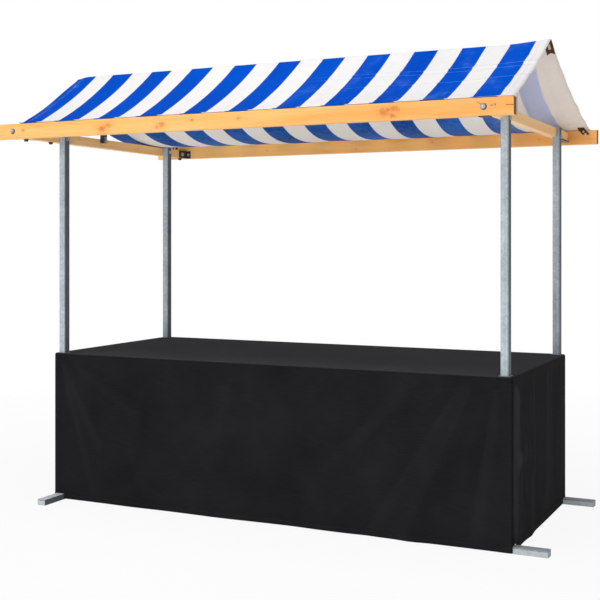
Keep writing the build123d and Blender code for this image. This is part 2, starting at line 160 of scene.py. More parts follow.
paint = add_node(tree, "ShaderNodeBsdfDiffuse", {"Color": (0.92, 0.92, 0.92, 1)}).outputs[0]
fill = add_node(tree, "ShaderNodeEmission", {"Color": WHITE, "Strength": FLOOR_FILL}).outputs[0]
lit = add_node(tree, "ShaderNodeAddShader", {0: paint, 1: fill}).outputs[0]
camera_ray = add_node(tree, "ShaderNodeLightPath").outputs["Is Camera Ray"]
shaded = add_node(tree, "ShaderNodeMixShader", {0: camera_ray, 1: lit, 2: paint}).outputs[0]
glow = add_node(tree, "ShaderNodeEmission", {"Color": WHITE, "Strength": 1.0}).outputs[0]
floor_mix = add_node(tree, "ShaderNodeMixShader", {0: seen_directly(tree) * fade, 1: shaded, 2: glow})
add_node(tree, "ShaderNodeOutputMaterial", {"Surface": floor_mix.outputs[0]})
floor_mesh.materials.append(floor_finish)


def soft_box(name, place, aim, size, power):
    """A square studio light at place, turned to aim."""
    lamp = bpy.data.lights.new(name, "AREA")
    lamp.shape, lamp.size, lamp.energy = "SQUARE", size, power
    lamp_object = bpy.data.objects.new(name, lamp)
    lamp_object.location = place
    lamp_object.rotation_euler = (Vector(aim) - Vector(place)).to_track_quat("-Z", "Y").to_euler()
    lamp_object.visible_glossy = False
    lamp_object.visible_camera = False
    scene.collection.objects.link(lamp_object)


soft_box("key_light", (-4.2, -7.0, 2.4), (0, 0, 1.6), 3.2, 25)
soft_box("top_light", (-0.3, -1.5, 6.2), (0, 0, 1.6), 3.0, 138)
soft_box("low_light", (0.7, -5.6, 0.8), (0.1, 0, 1.8), 1.5, 95)

camera_data = bpy.data.cameras.new("camera")
camera_data.sensor_width = 36.0
camera_data.lens = 66.74
camera_data.shift_y = -0.1005
camera = bpy.data.objects.new("camera", camera_data)
camera.location = (2.6137, -5.4968, 1.4194)
camera.rotation_euler = (math.radians(90), 0, math.radians(25.5))
scene.collection.objects.link(camera)
scene.camera = camera


# -------------------------------------------------------- posts, feet and rails
# Square hot-dip galvanised tube on flat bar feet, and the tubes that carry the
# table: a zinc coat with pale crystals, long drip streaks and a satin shine.
def new_finish(name):
    """A material, its node tree and its Principled shader."""
    finish = bpy.data.materials.new(name)
    finish.use_nodes = True
    return finish, finish.node_tree, finish.node_tree.nodes["Principled BSDF"]


def blend_colour(tree, share, first, second, how="MIX"):
    """Two colours mixed; each may be a value or a link."""
    sockets = {0: share, 6: first, 7: second}
    return add_node(tree, "ShaderNodeMix", sockets, data_type="RGBA", blend_type=how).outputs[2]


def toned(colour, share):
    """A colour made darker or lighter."""
    return tuple(share * c for c in colour[:3]) + (1,)


def split(tree, vector):
    """A vector's x, y and z."""
    return [Wire(tree, part) for part in add_node(tree, "ShaderNodeSeparateXYZ", {0: vector}).outputs]


def stretched(tree, scale, place):
    """Coordinates scaled apart along each axis."""
    return add_node(tree, "ShaderNodeMapping", {"Vector": place, "Scale": scale}).outputs[0]


def noise(tree, place, scale, detail=3.0, rough=0.5):
    """Soft noise from 0 to 1 at a place."""
    sockets = {"Vector": place, "Scale": scale, "Detail": detail, "Roughness": rough}
    return Wire(tree, add_node(tree, "ShaderNodeTexNoise", sockets).outputs[0])


def bump(tree, shader, height, distance):
    """Height in units of distance, given to the shader's normal."""
    node = add_node(tree, "ShaderNodeBump", {"Height": height, "Distance": distance, "Strength": 1.0})
    set_inputs(tree, shader, {"Normal": node.outputs[0]})


CRYSTAL = 0.011             # the zinc coat's crystals
ZINC_SHADOW = (0.035, 0.040, 0.048, 1)
FOOT_BRIM = 0.027           # the height of the feet's dark upper line
POST_DARK_LINE = 0.021         # a faint line this far across a post's front


def galvanised(name, pale, dull, metallic, marks=""):
    """Zinc coat with pale crystals, streaked along Z. With marks it also gets painted shade: on posts, darker
    strips beside the front face's edges, darker right faces and darker tops under the roof, and a faint dark
    line down the front; on feet, darker upright faces and right faces, a darker sole and a dark line along
    their upper edges."""
    finish, tree, shader = new_finish(name)
    place = coordinates(tree, "Object")
    cells = add_node(tree, "ShaderNodeTexVoronoi", {"Vector": place, "Scale": 1 / CRYSTAL})
    flake = Wire(tree, add_node(tree, "ShaderNodeSeparateColor", {0: cells.outputs["Color"]}).outputs[0])
    cloud = noise(tree, place, 9.0, 4.0)
    streak = noise(tree, stretched(tree, (60, 60, 3), place), 1.0, 3.0)
    shade = map_range(tree, cloud, 0.35, 0.7) * 0.3 + (flake * 0.35 + streak * 0.65)
    colour = blend_colour(tree, map_range(tree, shade, 0.25, 1.0), dull, pale)
    if marks:
        x, _, z = split(tree, place)
        face_x, face_y, face_z = split(tree, coordinates(tree, "Normal"))
    # Painted shade on the feet: upright faces darker than the top, a dark line along the upper edge, darker
    # towards the sole, the left feet's right faces darkest, and the right feet darker all over, most on their
    # right faces.
    if marks == "foot":
        brim = map_range(tree, abs(z - FOOT_BRIM), 0.0012, 0.0045, 0.80, 0)
        painted_sole_shade = map_range(tree, z, 0.0, 0.006, 0.65, 0)
        left_feet_side_shade = (face_x > 0.5) * (x < 0.0) * 0.95
        upright = abs(face_z) < 0.5
        depth = calc(tree, "MAXIMUM", brim, painted_sole_shade, left_feet_side_shade, 0.40) * upright
        right_feet_shade = (x > 0.0) * map_range(tree, face_x, 0.4, 0.9, 0.46, 0.66)
        colour = blend_colour(tree, calc(tree, "MAXIMUM", depth, right_feet_shade), colour, ZINC_SHADOW)
    # Painted shade on the posts: darker strips beside the front face's edges, darker right faces and darker
    # tops under the roof; also a faint dark line down the front.
    if marks == "post":
        in_post = x - POST_LEFT - (x > 0.0) * POST_STEP + (streak * 0.004 - 0.002)
        edge = map_range(tree, in_post, 0.0305, 0.0345, 0, 0.42, True)
        line = map_range(tree, abs(in_post - POST_DARK_LINE), 0.001, 0.003, 0.16, 0)
        rim = map_range(tree, in_post, 0.001, 0.0045, 0.30, 0, True)
        front = calc(tree, "MAXIMUM", edge, line, rim) * (face_y < -0.5)
        right = (face_x > 0.5) * 0.84
        painted_roof_shade = map_range(tree, z, 1.82, 1.98, 0, 0.28, True)
        colour = blend_colour(tree, calc(tree, "MAXIMUM", front, right, painted_roof_shade), colour, ZINC_SHADOW)
    set_inputs(tree, shader, {"Base Color": colour, "Metallic": metallic, "IOR": 1.2 if marks else 1.4,
                              "Roughness": map_range(tree, flake, 0, 1, 0.38, 0.56)})
    bump(tree, shader, flake * 0.4 + streak, 0.0004)
    return finish


def refinish(nodes, finish):
    """Gives CAD nodes one finish."""
    for node in nodes:
        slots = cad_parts[node].data.materials
        slots.clear()
        slots.append(finish)


CORNERS = ("front_left", "front_right", "rear_left", "rear_right")
POST_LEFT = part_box("post_front_left")[0].x
POST_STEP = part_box("post_front_right")[0].x - POST_LEFT
tube_steel = galvanised("galvanised_tube", (0.56, 0.60, 0.635, 1), (0.33, 0.36, 0.39, 1), 0.35)
post_steel = galvanised("galvanised_post", (0.53, 0.60, 0.65, 1), (0.31, 0.365, 0.405, 1), 0.0, "post")
foot_steel = galvanised("galvanised_foot", (0.90, 0.97, 1.0, 1), (0.60, 0.68, 0.73, 1), 0.0, "foot")
refinish([f"post_{corner}" for corner in CORNERS], post_steel)
refinish([f"foot_{corner}" for corner in CORNERS], foot_steel)
refinish([f"table_rail_{side}" for side in ("front", "rear", "left", "right")], tube_steel)


# ------------------------------------------------------- beams, rails and ridge
# Planed pine with a clear varnish. The long beams are honey coloured with round
# knots; the cross rails and the ridge pole are paler, with straight grain.
RING = 0.0062               # one year's growth
# the end grain's dark colour, deepened as painted shade
END_GRAIN_AND_SHADE = (0.10, 0.035, 0.010, 1)


def distance(tree, first, second):
    """How far two offsets at right angles lead."""
    return calc(tree, "SQRT", first * first + second * second)


def wave(tree, value, length):
    """A sine of the given wave length."""
    return calc(tree, "SINE", value * (2 * math.pi / length))


def pine(name, along, pith, pale, warm, knots=(), cracks=()):
    """Pine with its grain along X or Y; pith is the heart's place across the grain,
    a knot is (place along the grain, height, radius, depth of its colour), and a
    crack runs from one (place, height) to another, with its width."""
    finish, tree, shader = new_finish(name)
    place = coordinates(tree, "Object")
    x, y, z = split(tree, place)
    length, across = (x, y) if along == "X" else (y, x)
    grain = (1, 14, 14) if along == "X" else (14, 1, 14)
    wander, fibre, broad = (
        noise(tree, stretched(tree, tuple(fine * s for s in grain), place), 1.0, detail, rough)
        for fine, detail, rough in ((0.9, 2.0, 0.5), (6, 4.0, 0.6), (1.6, 3.0, 0.5)))
    ragged = noise(tree, place, 95.0, 3.0, 0.65)

    swirl, core, halo = 0.0, 0.0, 0.0
    for along_at, height, size, depth in knots:
        far = distance(tree, (length - along_at) * 0.62, z - height)
        far = fibre * (size * 0.5) + (far - size * 0.25)
        far = ragged * (size * 1.5) + (far - size * 0.75)
        swirl = swirl + map_range(tree, far, size * 0.4, size * 4.5, 1, 0, True)
        core = calc(tree, "MAXIMUM", core, map_range(tree, far, size * 0.1, size, depth, 0, True))
        halo = calc(tree, "MAXIMUM", halo, map_range(tree, far, size * 0.4, size * 2.2, 1, 0, True))

    from_pith = wander * 0.022 + distance(tree, across - pith[0], z - pith[1]) + swirl * 0.011
    late = map_range(tree, wave(tree, from_pith, RING), -0.2, 1.0, 0, 1, True)
    tone = blend_colour(tree, map_range(tree, x, -1.4, 1.4, 0, 1, True), pale, warm)
    light = blend_colour(tree, map_range(tree, broad, 0.36, 0.64), tone, (0.98, 0.84, 0.66, 1), "MULTIPLY")
    dark = blend_colour(tree, 1.0, light, (0.86, 0.72, 0.55, 1), "MULTIPLY")
    colour = blend_colour(tree, late * 0.55, light, dark)
    colour = blend_colour(tree, map_range(tree, fibre, 0.35, 0.75, 0, 0.35), colour, dark)
    if knots:
        colour = blend_colour(tree, halo * 0.50, colour, (0.76, 0.33, 0.085, 1))
        colour = blend_colour(tree, core, colour, (0.56, 0.15, 0.035, 1))
    for from_at, from_z, to_at, to_z, wide in cracks:
        line_z = map_range(tree, length, from_at, to_at) * (to_z - from_z) + from_z
        line_z = ragged * 0.004 + (line_z - 0.002)
        slit = map_range(tree, abs(z - line_z), wide * 0.3, wide, 0.85, 0)
        within = (length > from_at) * (length < to_at)
        colour = blend_colour(tree, slit * within, colour, (0.22, 0.07, 0.015, 1))
    # End faces take the end grain colour: the wood's own darker end grain, deepened further as painted shade.
    facing = split(tree, coordinates(tree, "Normal"))
    end = map_range(tree, abs(facing["XY".index(along)]), 0.6, 0.9)
    colour = blend_colour(tree, end, colour, blend_colour(tree, late, (0.22, 0.085, 0.026, 1), END_GRAIN_AND_SHADE))
    set_inputs(tree, shader, {"Base Color": colour, "Specular IOR Level": 0.3,
                              "Roughness": map_range(tree, fibre, 0.3, 0.7, 0.42, 0.58)})
    bump(tree, shader, late * 0.35 + fibre, 0.0005)
    return finish


PALE_PINE = (0.92, 0.58, 0.22, 1)
WARM_PINE = (0.90, 0.475, 0.165, 1)
beam_lo, beam_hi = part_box("beam_front")
FRONT_KNOTS = (
    (-1.468, 1.990, 0.008, 0.9), (-1.219, 1.994, 0.0075, 0.85), (-0.716, 1.982, 0.022, 0.70),
    (-0.680, 1.997, 0.017, 0.55), (-0.362, 1.986, 0.018, 0.62), (-0.388, 1.976, 0.011, 0.55),
    (-0.186, 2.001, 0.007, 0.85), (0.068, 1.998, 0.009, 0.50), (0.812, 1.990, 0.026, 0.70),
    (0.858, 2.004, 0.022, 0.66), (0.850, 1.972, 0.014, 0.72), (0.832, 1.999, 0.012, 0.90),
)
FRONT_CRACKS = ((1.236, 2.0148, 1.264, 2.000, 0.0022), (1.297, 1.9955, 1.312, 1.9965, 0.0022),
                (1.366, 1.9955, 1.402, 1.9930, 0.0026))
REAR_KNOTS = ((-0.62, 1.985, 0.005, 0.6), (-0.010, 1.975, 0.005, 0.8), (0.48, 1.998, 0.006, 0.6),
              (1.12, 1.990, 0.005, 0.7))
front_pine = pine("varnished_pine_front", "X", (beam_lo.y + 0.018, beam_lo.z - 0.055),
                  PALE_PINE, WARM_PINE, FRONT_KNOTS, FRONT_CRACKS)
rear_pine = pine("varnished_pine_rear", "X", (-beam_lo.y - 0.05, beam_hi.z + 0.06),
                 PALE_PINE, WARM_PINE, REAR_KNOTS)
left_rail_pine = pine("varnished_pine_left", "Y", (-1.20, 1.90), (0.88, 0.57, 0.27, 1),
                      (0.88, 0.57, 0.27, 1), ((0.226, 1.980, 0.006, 0.6), (-0.36, 1.985, 0.005, 0.5)))
right_rail_pine = pine("varnished_pine_right", "Y", (1.29, 2.08), (0.95, 0.70, 0.40, 1),
                       (0.95, 0.66, 0.36, 1), ((-0.22, 1.998, 0.004, 0.6),))
ridge_pine = pine("varnished_pine_ridge", "X", (-0.17, 2.26), PALE_PINE, PALE_PINE)
for wood, wood_finish in (("beam_front", front_pine), ("beam_rear", rear_pine), ("ridge_pole", ridge_pine),
                          ("cross_rail_left", left_rail_pine), ("cross_rail_right", right_rail_pine)):
    refinish([wood], wood_finish)


# --------------------------------------------------- brackets, cleats and bolts
# Blackened steel angles and the left king post, a pale right king post, bright zinc bolts through the beams,
# and hexagon bolts with washers where rails, posts and king posts are fixed.
PAINTED_GLINT_OFF = 0.0025          # the glint sits this far up and to the left on a domed head


def zinc_plate(name, colour, metallic, rough, wear_and_crease_highlight=0.25, painted_dome_centres=()):
    """Plated or blackened steel with clouded tone, fine scratches and spots of wear; domed heads, given by
    their centres' x and z, get painted shade towards the rim and a painted glint up and to the left of the
    centre."""
    finish, tree, shader = new_finish(name)
    place = coordinates(tree, "Object")
    cloud = noise(tree, place, 45.0, 4.0)
    scratch = noise(tree, stretched(tree, (700, 90, 700), place), 1.0, 2.0)
    tone = blend_colour(tree, map_range(tree, cloud, 0.32, 0.68), toned(colour, 0.62), colour)
    brighter = tuple(min(1.0, 1.35 * c + 0.05) for c in colour[:3]) + (1,)
    tone = blend_colour(tree, map_range(tree, scratch, 0.62, 0.75, 0, wear_and_crease_highlight), tone, brighter)
    if painted_dome_centres:
        x, _, z = split(tree, place)
        far = calc(tree, "MINIMUM", 1.0, *(distance(tree, x - (at_x - PAINTED_GLINT_OFF), z - (at_z + PAINTED_GLINT_OFF))
                                           for at_x, at_z in painted_dome_centres))
        # Painted shade darkens each dome towards its rim; a painted glint lightens it up and to the left of
        # its centre.
        tone = blend_colour(tree, map_range(tree, far, 0.008, 0.0165, 0, 0.92, True), tone,
                            (0.020, 0.022, 0.026, 1))
        tone = blend_colour(tree, map_range(tree, far, 0.0, 0.007, 0.75, 0, True), tone,
                            (0.93, 0.96, 1.0, 1))
    set_inputs(tree, shader, {"Base Color": tone, "Metallic": metallic,
                              "Roughness": map_range(tree, cloud, 0.3, 0.7, rough - 0.07, rough + 0.1)})
    bump(tree, shader, cloud + scratch, 0.00025)
    return finish


def middle(box, axis):
    """The middle of a box along one axis, 0 to 2."""
    return (box[0][axis] + box[1][axis]) / 2


bright_zinc = zinc_plate("bright_zinc", (0.60, 0.64, 0.70, 1), 0.85, 0.30)
black_steel = zinc_plate("blackened_steel", (0.050, 0.052, 0.058, 1), 0.4, 0.5)
heads = [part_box(f"beam_bolt_{corner}") for corner in CORNERS]
# The beam bolts' domes get the painted shade and the painted glint.
domed_zinc_painted_light = zinc_plate("domed_zinc_painted_light", (0.50, 0.56, 0.62, 1), 0.5, 0.34, 0.15,
                        [(middle(head, 0), middle(head, 2)) for head in heads])
refinish([f"beam_bolt_{corner}" for corner in CORNERS], domed_zinc_painted_light)
CLEATS = ("rail_cleat_front_left", "rail_cleat_rear_left", "rail_cleat_rear_right")
refinish([*CLEATS, "beam_bracket_right", "king_post_left"], black_steel)
refinish(["king_post_right"], zinc_plate("pale_zinc", (0.84, 0.83, 0.82, 1), 0.0, 0.6))


def start_tree(name, **kinds):
    """A Geometry Nodes tree with the given inputs besides mesh and material."""
    tree = bpy.data.node_groups.new(name, "GeometryNodeTree")
    for label, kind in {"Geometry": "Geometry", **kinds, "Material": "Material"}.items():
        tree.interface.new_socket(label, in_out="INPUT", socket_type=f"NodeSocket{kind}")
    tree.interface.new_socket("Geometry", in_out="OUTPUT", socket_type="NodeSocketGeometry")
    return tree, add_node(tree, "NodeGroupInput").outputs


def end_tree(tree, points, part, turn, material):
    """The tree's result: the part at every point, as one mesh of one material."""
    copies = add_node(tree, "GeometryNodeInstanceOnPoints", {
        "Points": points, "Instance": part, "Rotation": turn}).outputs[0]
    solid = add_node(tree, "GeometryNodeRealizeInstances", {0: copies}).outputs[0]
    painted = add_node(tree, "GeometryNodeSetMaterial", {0: solid, "Material": material})
    add_node(tree, "NodeGroupOutput", {0: painted.outputs[0]})


def bolt_tree(name):
    """Geometry Nodes: a hexagon head on a round washer at every point of a mesh."""
    tree, given = start_tree(name, Head="Float", Height="Float", Washer="Float", Thick="Float", Turn="Vector")
    head_z = calc(tree, "MULTIPLY", given["Height"], 0.5) + given["Thick"]
    washer_z = calc(tree, "MULTIPLY", given["Thick"], 0.5)
    stack = add_node(tree, "GeometryNodeJoinGeometry")
    for sides, radius, depth, rise in ((6, "Head", "Height", head_z), (24, "Washer", "Thick", washer_z)):
        part = add_node(tree, "GeometryNodeMeshCylinder", {
            "Vertices": sides, "Radius": given[radius], "Depth": given[depth]}).outputs["Mesh"]
        lift = add_node(tree, "ShaderNodeCombineXYZ", {2: rise}).outputs[0]
        moved = add_node(tree, "GeometryNodeTransform", {"Geometry": part, "Translation": lift})
        tree.links.new(moved.outputs[0], stack.inputs[0])
    turn = add_node(tree, "FunctionNodeEulerToRotation", {0: given["Turn"]}).outputs[0]
    end_tree(tree, given["Geometry"], stack.outputs[0], turn, given["Material"])
    return tree


def run_nodes(name, mesh, tree, values):
    """The mesh that a Geometry Nodes tree makes from another mesh."""
    carrier = bpy.data.objects.new(f"{name}_source", mesh)
    scene.collection.objects.link(carrier)
    modifier = carrier.modifiers.new("nodes", "NODES")
    modifier.node_group = tree
    for socket in tree.interface.items_tree:
        if socket.in_out == "INPUT" and socket.name in values:
            modifier[socket.identifier] = values[socket.name]
    bpy.context.view_layer.update()
    evaluated = carrier.evaluated_get(bpy.context.evaluated_depsgraph_get())
    made = bpy.data.meshes.new_from_object(evaluated)
    bpy.data.objects.remove(carrier)
    made.name = name
    return made


def join_meshes(name, meshes, finish):
    """Several meshes of one finish as a single piece."""
    shape = bmesh.new()
    for mesh in meshes:
        shape.from_mesh(mesh)
    for part in shape.faces:
        part.material_index = 0
    joined = bpy.data.meshes.new(name)
    shape.to_mesh(joined)
    shape.free()
    joined.materials.append(finish)
    return joined


def place_piece(name, mesh):
    """A finished mesh as a piece of the stall."""
    piece = bpy.data.objects.new(name, mesh)
    scene.collection.objects.link(piece)
    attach(piece, "root")
    return piece


def apply_modifiers(piece):
    """Bakes a piece's modifiers into its mesh."""
    bpy.context.view_layer.update()
    evaluated = piece.evaluated_get(bpy.context.evaluated_depsgraph_get())
    old = piece.data
    piece.data = bpy.data.meshes.new_from_object(evaluated)
    piece.modifiers.clear()
    piece.data.name = piece.name
    if old.users == 0:
        bpy.data.meshes.remove(old)


def soften(piece, width):
    """Rounds a piece's sharp edges."""
    edges = piece.modifiers.new("edges", "BEVEL")
    edges.width, edges.segments, edges.limit_method = width, 2, "ANGLE"


def bolt_group(name, groups, finish, edge=0.0005):
    """Bolts as one piece; a group is (points, turn, head, head height, washer)."""
    tree = bolt_tree(name)
    made = []
    for number, (points, turn, head, height, washer) in enumerate(groups):
        spots = bpy.data.meshes.new(f"{name}_{number}")
        spots.from_pydata(points, [], [])
        made.append(run_nodes(f"{name}_{number}", spots, tree, {
            "Head": head, "Height": height, "Washer": washer, "Thick": WASHER_THICK,
            "Turn": turn, "Material": finish}))
    piece = place_piece(name, join_meshes(name, made, finish))
    soften(piece, edge)
    apply_modifiers(piece)


WASHER_THICK = 0.0018
TO_RIGHT, TO_LEFT = (0, math.radians(90), 0), (0, math.radians(-90), 0)
TO_FRONT, TO_FLOOR = (math.radians(90), 0, 0), (math.radians(180), 0, 0)
# a bolt's head radius, head height and washer radius
POST_BOLT, KING_BOLT = (0.0075, 0.0055, 0.0115), (0.0065, 0.005, 0.010)
RAIL_BOLT, CLEAT_BOLT, PLATE_BOLT = (0.0115, 0.010, 0.0155), (0.0095, 0.007, 0.0135), (0.0085, 0.008, 0.011)
BEAM_SCREW = (0.0035, 0.0006, 0.0048)
BOLT_UP = 0.022             # the post bolts' height over the rails' underside
rail_l, rail_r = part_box("cross_rail_left"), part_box("cross_rail_right")
post = {corner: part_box(f"post_{corner}") for corner in CORNERS}
cleat_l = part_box("rail_cleat_rear_left")
rail_mid_l, rail_mid_r = middle(rail_l, 0), middle(rail_r, 0)
rail_z = rail_l[0].z, rail_r[0].z
bolt_groups = [
    ([(post[c][1].x, middle(post[c], 1), rail_z[0] + BOLT_UP) for c in CORNERS], TO_RIGHT, *POST_BOLT),
    ([(rail_l[0].x, middle(post[c], 1), rail_z[0] + BOLT_UP) for c in ("front_left", "rear_left")],
     TO_LEFT, *POST_BOLT)]
for king, face, turn in ((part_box("king_post_left"), 1, TO_RIGHT), (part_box("king_post_right"), 0, TO_LEFT)):
    bolt_groups.append(([(king[face].x, middle(king, 1), king[0].z + up) for up in (0.012, 0.028)],
                        turn, *KING_BOLT))
bolt_group("frame_bolts", bolt_groups, bright_zinc)
bolt_group("rail_bolts", (([
    (rail_l[0].x + 0.014, -0.785, rail_z[0]), (rail_mid_l, -0.590, rail_z[0]),
    (rail_mid_l, 0.748, rail_z[0]), (rail_mid_r, -0.748, rail_z[1])], TO_FLOOR, *RAIL_BOLT),),
    black_steel)
bolt_group("beam_screw", (([(1.318, beam_lo.y, 1.9975)], TO_FRONT, *BEAM_SCREW),), bright_zinc,
           0.0003)
bolt_group("cleat_bolts", (([(cleat_l[0].x + 0.004, cleat_l[0].y + 0.032, middle(cleat_l, 2))],
                            TO_RIGHT, *CLEAT_BOLT),), bright_zinc)

RAIL_PLATE = (0.048, 0.20, 0.004)   # the plate under the right rail's rear end
plate_mesh = bpy.data.meshes.new("rail_plate")
plate_shape = bmesh.new()
bmesh.ops.create_cube(plate_shape, size=1.0)
plate_shape.transform(Matrix.Translation((rail_r[1].x - 0.016, rail_r[1].y - 0.004 - RAIL_PLATE[1] / 2,
                                          rail_z[1] - RAIL_PLATE[2] / 2)) @ Matrix.Diagonal((*RAIL_PLATE, 1)))
bmesh.ops.bevel(plate_shape, geom=plate_shape.edges[:], offset=0.001, segments=2, affect="EDGES")
plate_shape.to_mesh(plate_mesh)
plate_shape.free()
plate_mesh.materials.append(black_steel)
place_piece("rail_plate", plate_mesh)
bolt_group("plate_bolts", (([(rail_r[1].x - inward, y, rail_z[1] - RAIL_PLATE[2])
                             for inward, y in ((0.008, 0.755), (0.022, 0.660))], TO_FLOOR, *PLATE_BOLT),),
           bright_zinc)


# ------------------------------------------------------------------- the canopy
# One sheet of coated canvas, blue and white stripes from eave to eave, stretched
# over the ridge pole and down to the two beams, with hems sewn along every edge.
FRONT_SAG, TAUT_SAG = 0.020, 0.030
REAR_FALL, REAR_BELLY = 0.145, 0.0345   # the slack rear slope: its drop and its belly
BACK_SLIP = 0.024           # its stripes slip to the right below the ridge
BELLY_MORE = 0.015          # the belly hangs deeper still between the cross rails
FRONT_LAY = 0.030           # the parts that lie on the beams
CANVAS = 0.0016             # the sheet's thickness
BLUE_WIDE, STRIPE_PITCH = 0.1265, 0.2540
HEM_WIDE, HEM_RAISE = 0.048, 0.0009
front_lo, front_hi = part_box("canopy_front_slope")
rear_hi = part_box("canopy_rear_slope")[1]
beam_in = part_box("beam_rear")[0].y
ridge_y, ridge_z = front_hi.y, front_hi.z
hem_z = front_lo.z + ridge_z - rear_hi.z + 0.003
CANVAS_WIDE = front_hi.x - front_lo.x
PULL_AT = CANVAS_WIDE - 0.03            # the middle of the pull wrinkles at the right end
LEFT_FLARE, LEFT_TAPER = 0.060, 0.138   # the left edge stands out at the ridge and in at the eave
EAVE_DRAWN, RIDGE_DRAWN = 0.048, 0.050  # along the stall: eave to the right, ridge's left half to the left
RIDGE_DROOP = 0.012         # the ridge's free left end hangs a little
RIDGE_LIFT = 0.011          # and its free right end is drawn up
# long creases across the right half: distance down from the ridge, height, waviness
CREASES = ((0.280, 0.0036, 0.004), (0.316, -0.0020, 0.004), (0.475, 0.0030, 0.006), (0.640, 0.0014, 0.003))
CREASE_WAVE = 0.6           # the wave length of the creases' waviness


def front_line(count=300):
    """Outer face of the front slope from the ridge to its edge, as (y, z) rows."""
    run = ridge_y - front_lo.y - FRONT_LAY
    out = np.linspace(0, run + FRONT_LAY, count)
    share = np.clip(out / run, 0, 1)
    z = ridge_z + (hem_z - ridge_z) * share - 4 * FRONT_SAG * share * (1 - share)
    return np.column_stack([ridge_y - out, z])


def rear_line(taut, count=500):
    """The same for the rear slope, slack or taut."""
    run = beam_in - ridge_y
    out = np.linspace(0, rear_hi.y - ridge_y, count)
    share = np.clip(out / run, 0, 1)
    if taut:
        z = ridge_z + (hem_z - ridge_z) * share - 4 * TAUT_SAG * share * (1 - share)
    else:
        drop = np.exp(-share * run / REAR_FALL) - share * math.exp(-run / REAR_FALL)
        z = hem_z + (ridge_z - hem_z) * drop - REAR_BELLY * np.sin(math.pi * share)
    return np.column_stack([ridge_y + out, z])


def arc_length(line):
    """How far along a line of places each one lies."""
    return np.concatenate([[0], np.cumsum(np.hypot(*np.diff(line, axis=0).T))])


RIDGE_S = float(arc_length(front_line())[-1])
CANVAS_LONG = RIDGE_S + float(arc_length(rear_line(False))[-1])
even = np.linspace(0, CANVAS_LONG, 1761)


def even_rows(rear):
    """Cross section over both slopes at even steps of the cloth, its ridge rounded."""
    front = front_line()[::-1]
    rear_at = arc_length(rear)
    rear_at = RIDGE_S + rear_at[1:] * (CANVAS_LONG - RIDGE_S) / rear_at[-1]
    places = np.concatenate([arc_length(front), rear_at])
    line = np.vstack([front, rear[1:]])
    rows = np.column_stack([np.interp(even, places, line[:, k]) for k in (0, 1)])
    for k in (0, 1):
        rows[4:-4, k] = np.convolve(rows[:, k], np.ones(9) / 9, "valid")
    return rows


slack_rows, taut_rows = even_rows(rear_line(False)), even_rows(rear_line(True))


def rise(value, low, high):
    """0 below low, 1 above high, smooth between."""
    share = np.clip((value - low) / (high - low), 0, 1)
    return share * share * (3 - 2 * share)


def ridge_fold(value, centre, width):
    """A smooth bump of height 1."""
    return np.exp(-((value - centre) / width) ** 2)


def canvas_wrinkles(u, s):
    """How far the canvas stands off its smooth curve, in metres."""
    from_ridge = np.abs(s - RIDGE_S)
    free = rise(from_ridge, 0.02, 0.10) * rise(s, 0.05, 0.12) * rise(CANVAS_LONG - s, 0.06, 0.14)
    front, back = s < RIDGE_S, s >= RIDGE_S
    drawn = 0.0009 * np.sin(2 * math.pi * u / 0.37 + 1.1 * np.sin(3.1 * u)) * rise(from_ridge, 0.1, 0.5)
    drawn += 0.0013 * np.sin(2 * math.pi * u / 0.83 + 0.6 + 2.0 * s)
    right = rise(u, 1.15, 2.35)
    creases = 0.0
    for out, high, bend in CREASES:
        line = RIDGE_S - out + bend * np.sin(2 * math.pi * u / CREASE_WAVE)
        creases = creases + high * ridge_fold(s, line, 0.010) * right * front
    crumple = 0.0
    for at_u, out, slant, high in ((2.60, 0.10, 0.9, 0.0034), (2.66, 0.17, -0.7, -0.0032),
                                   (2.57, 0.56, 0.6, 0.0026), (2.42, 0.13, 0.8, 0.0020)):
        across = (u - at_u) + slant * (s - (RIDGE_S - out))
        along = (s - (RIDGE_S - out)) - slant * (u - at_u)
        crumple = crumple + high * ridge_fold(across, 0, 0.018) * ridge_fold(along, 0, 0.075)
    left, near_right = np.exp(-u / 0.13), np.exp(-(CANVAS_WIDE - u) / 0.16)
    tug = 0.0
    for high, end, long_s, long_u, start, slope in (
            (0.0009, left, 0.43, 0.30, 0.8, front), (0.0022, left, 0.31, -0.30, 0.0, back),
            (0.0022, near_right, 0.36, -0.34, 0.4, back), (0.0016, near_right, 0.20, 0.4, 0.0, front)):
        tug = tug + high * end * np.sin(2 * math.pi * (s / long_s + u / long_u) + start) * slope
    pulled = np.exp(-((u - PULL_AT) / 0.22) ** 2) * rise(from_ridge, 0.15, 0.5)
    pulled = 0.0035 * pulled * np.sin(2 * math.pi * (from_ridge + 0.9 * u) / 0.21) * back
    return free * (drawn + creases + crumple + tug + pulled)


def hem_step(u, s):
    """The folded hems stand a little proud of the sheet."""
    edge = np.minimum(np.minimum(u, CANVAS_WIDE - u), np.minimum(s, CANVAS_LONG - s))
    return HEM_RAISE * (1 - rise(edge, HEM_WIDE - 0.0015, HEM_WIDE + 0.0015))


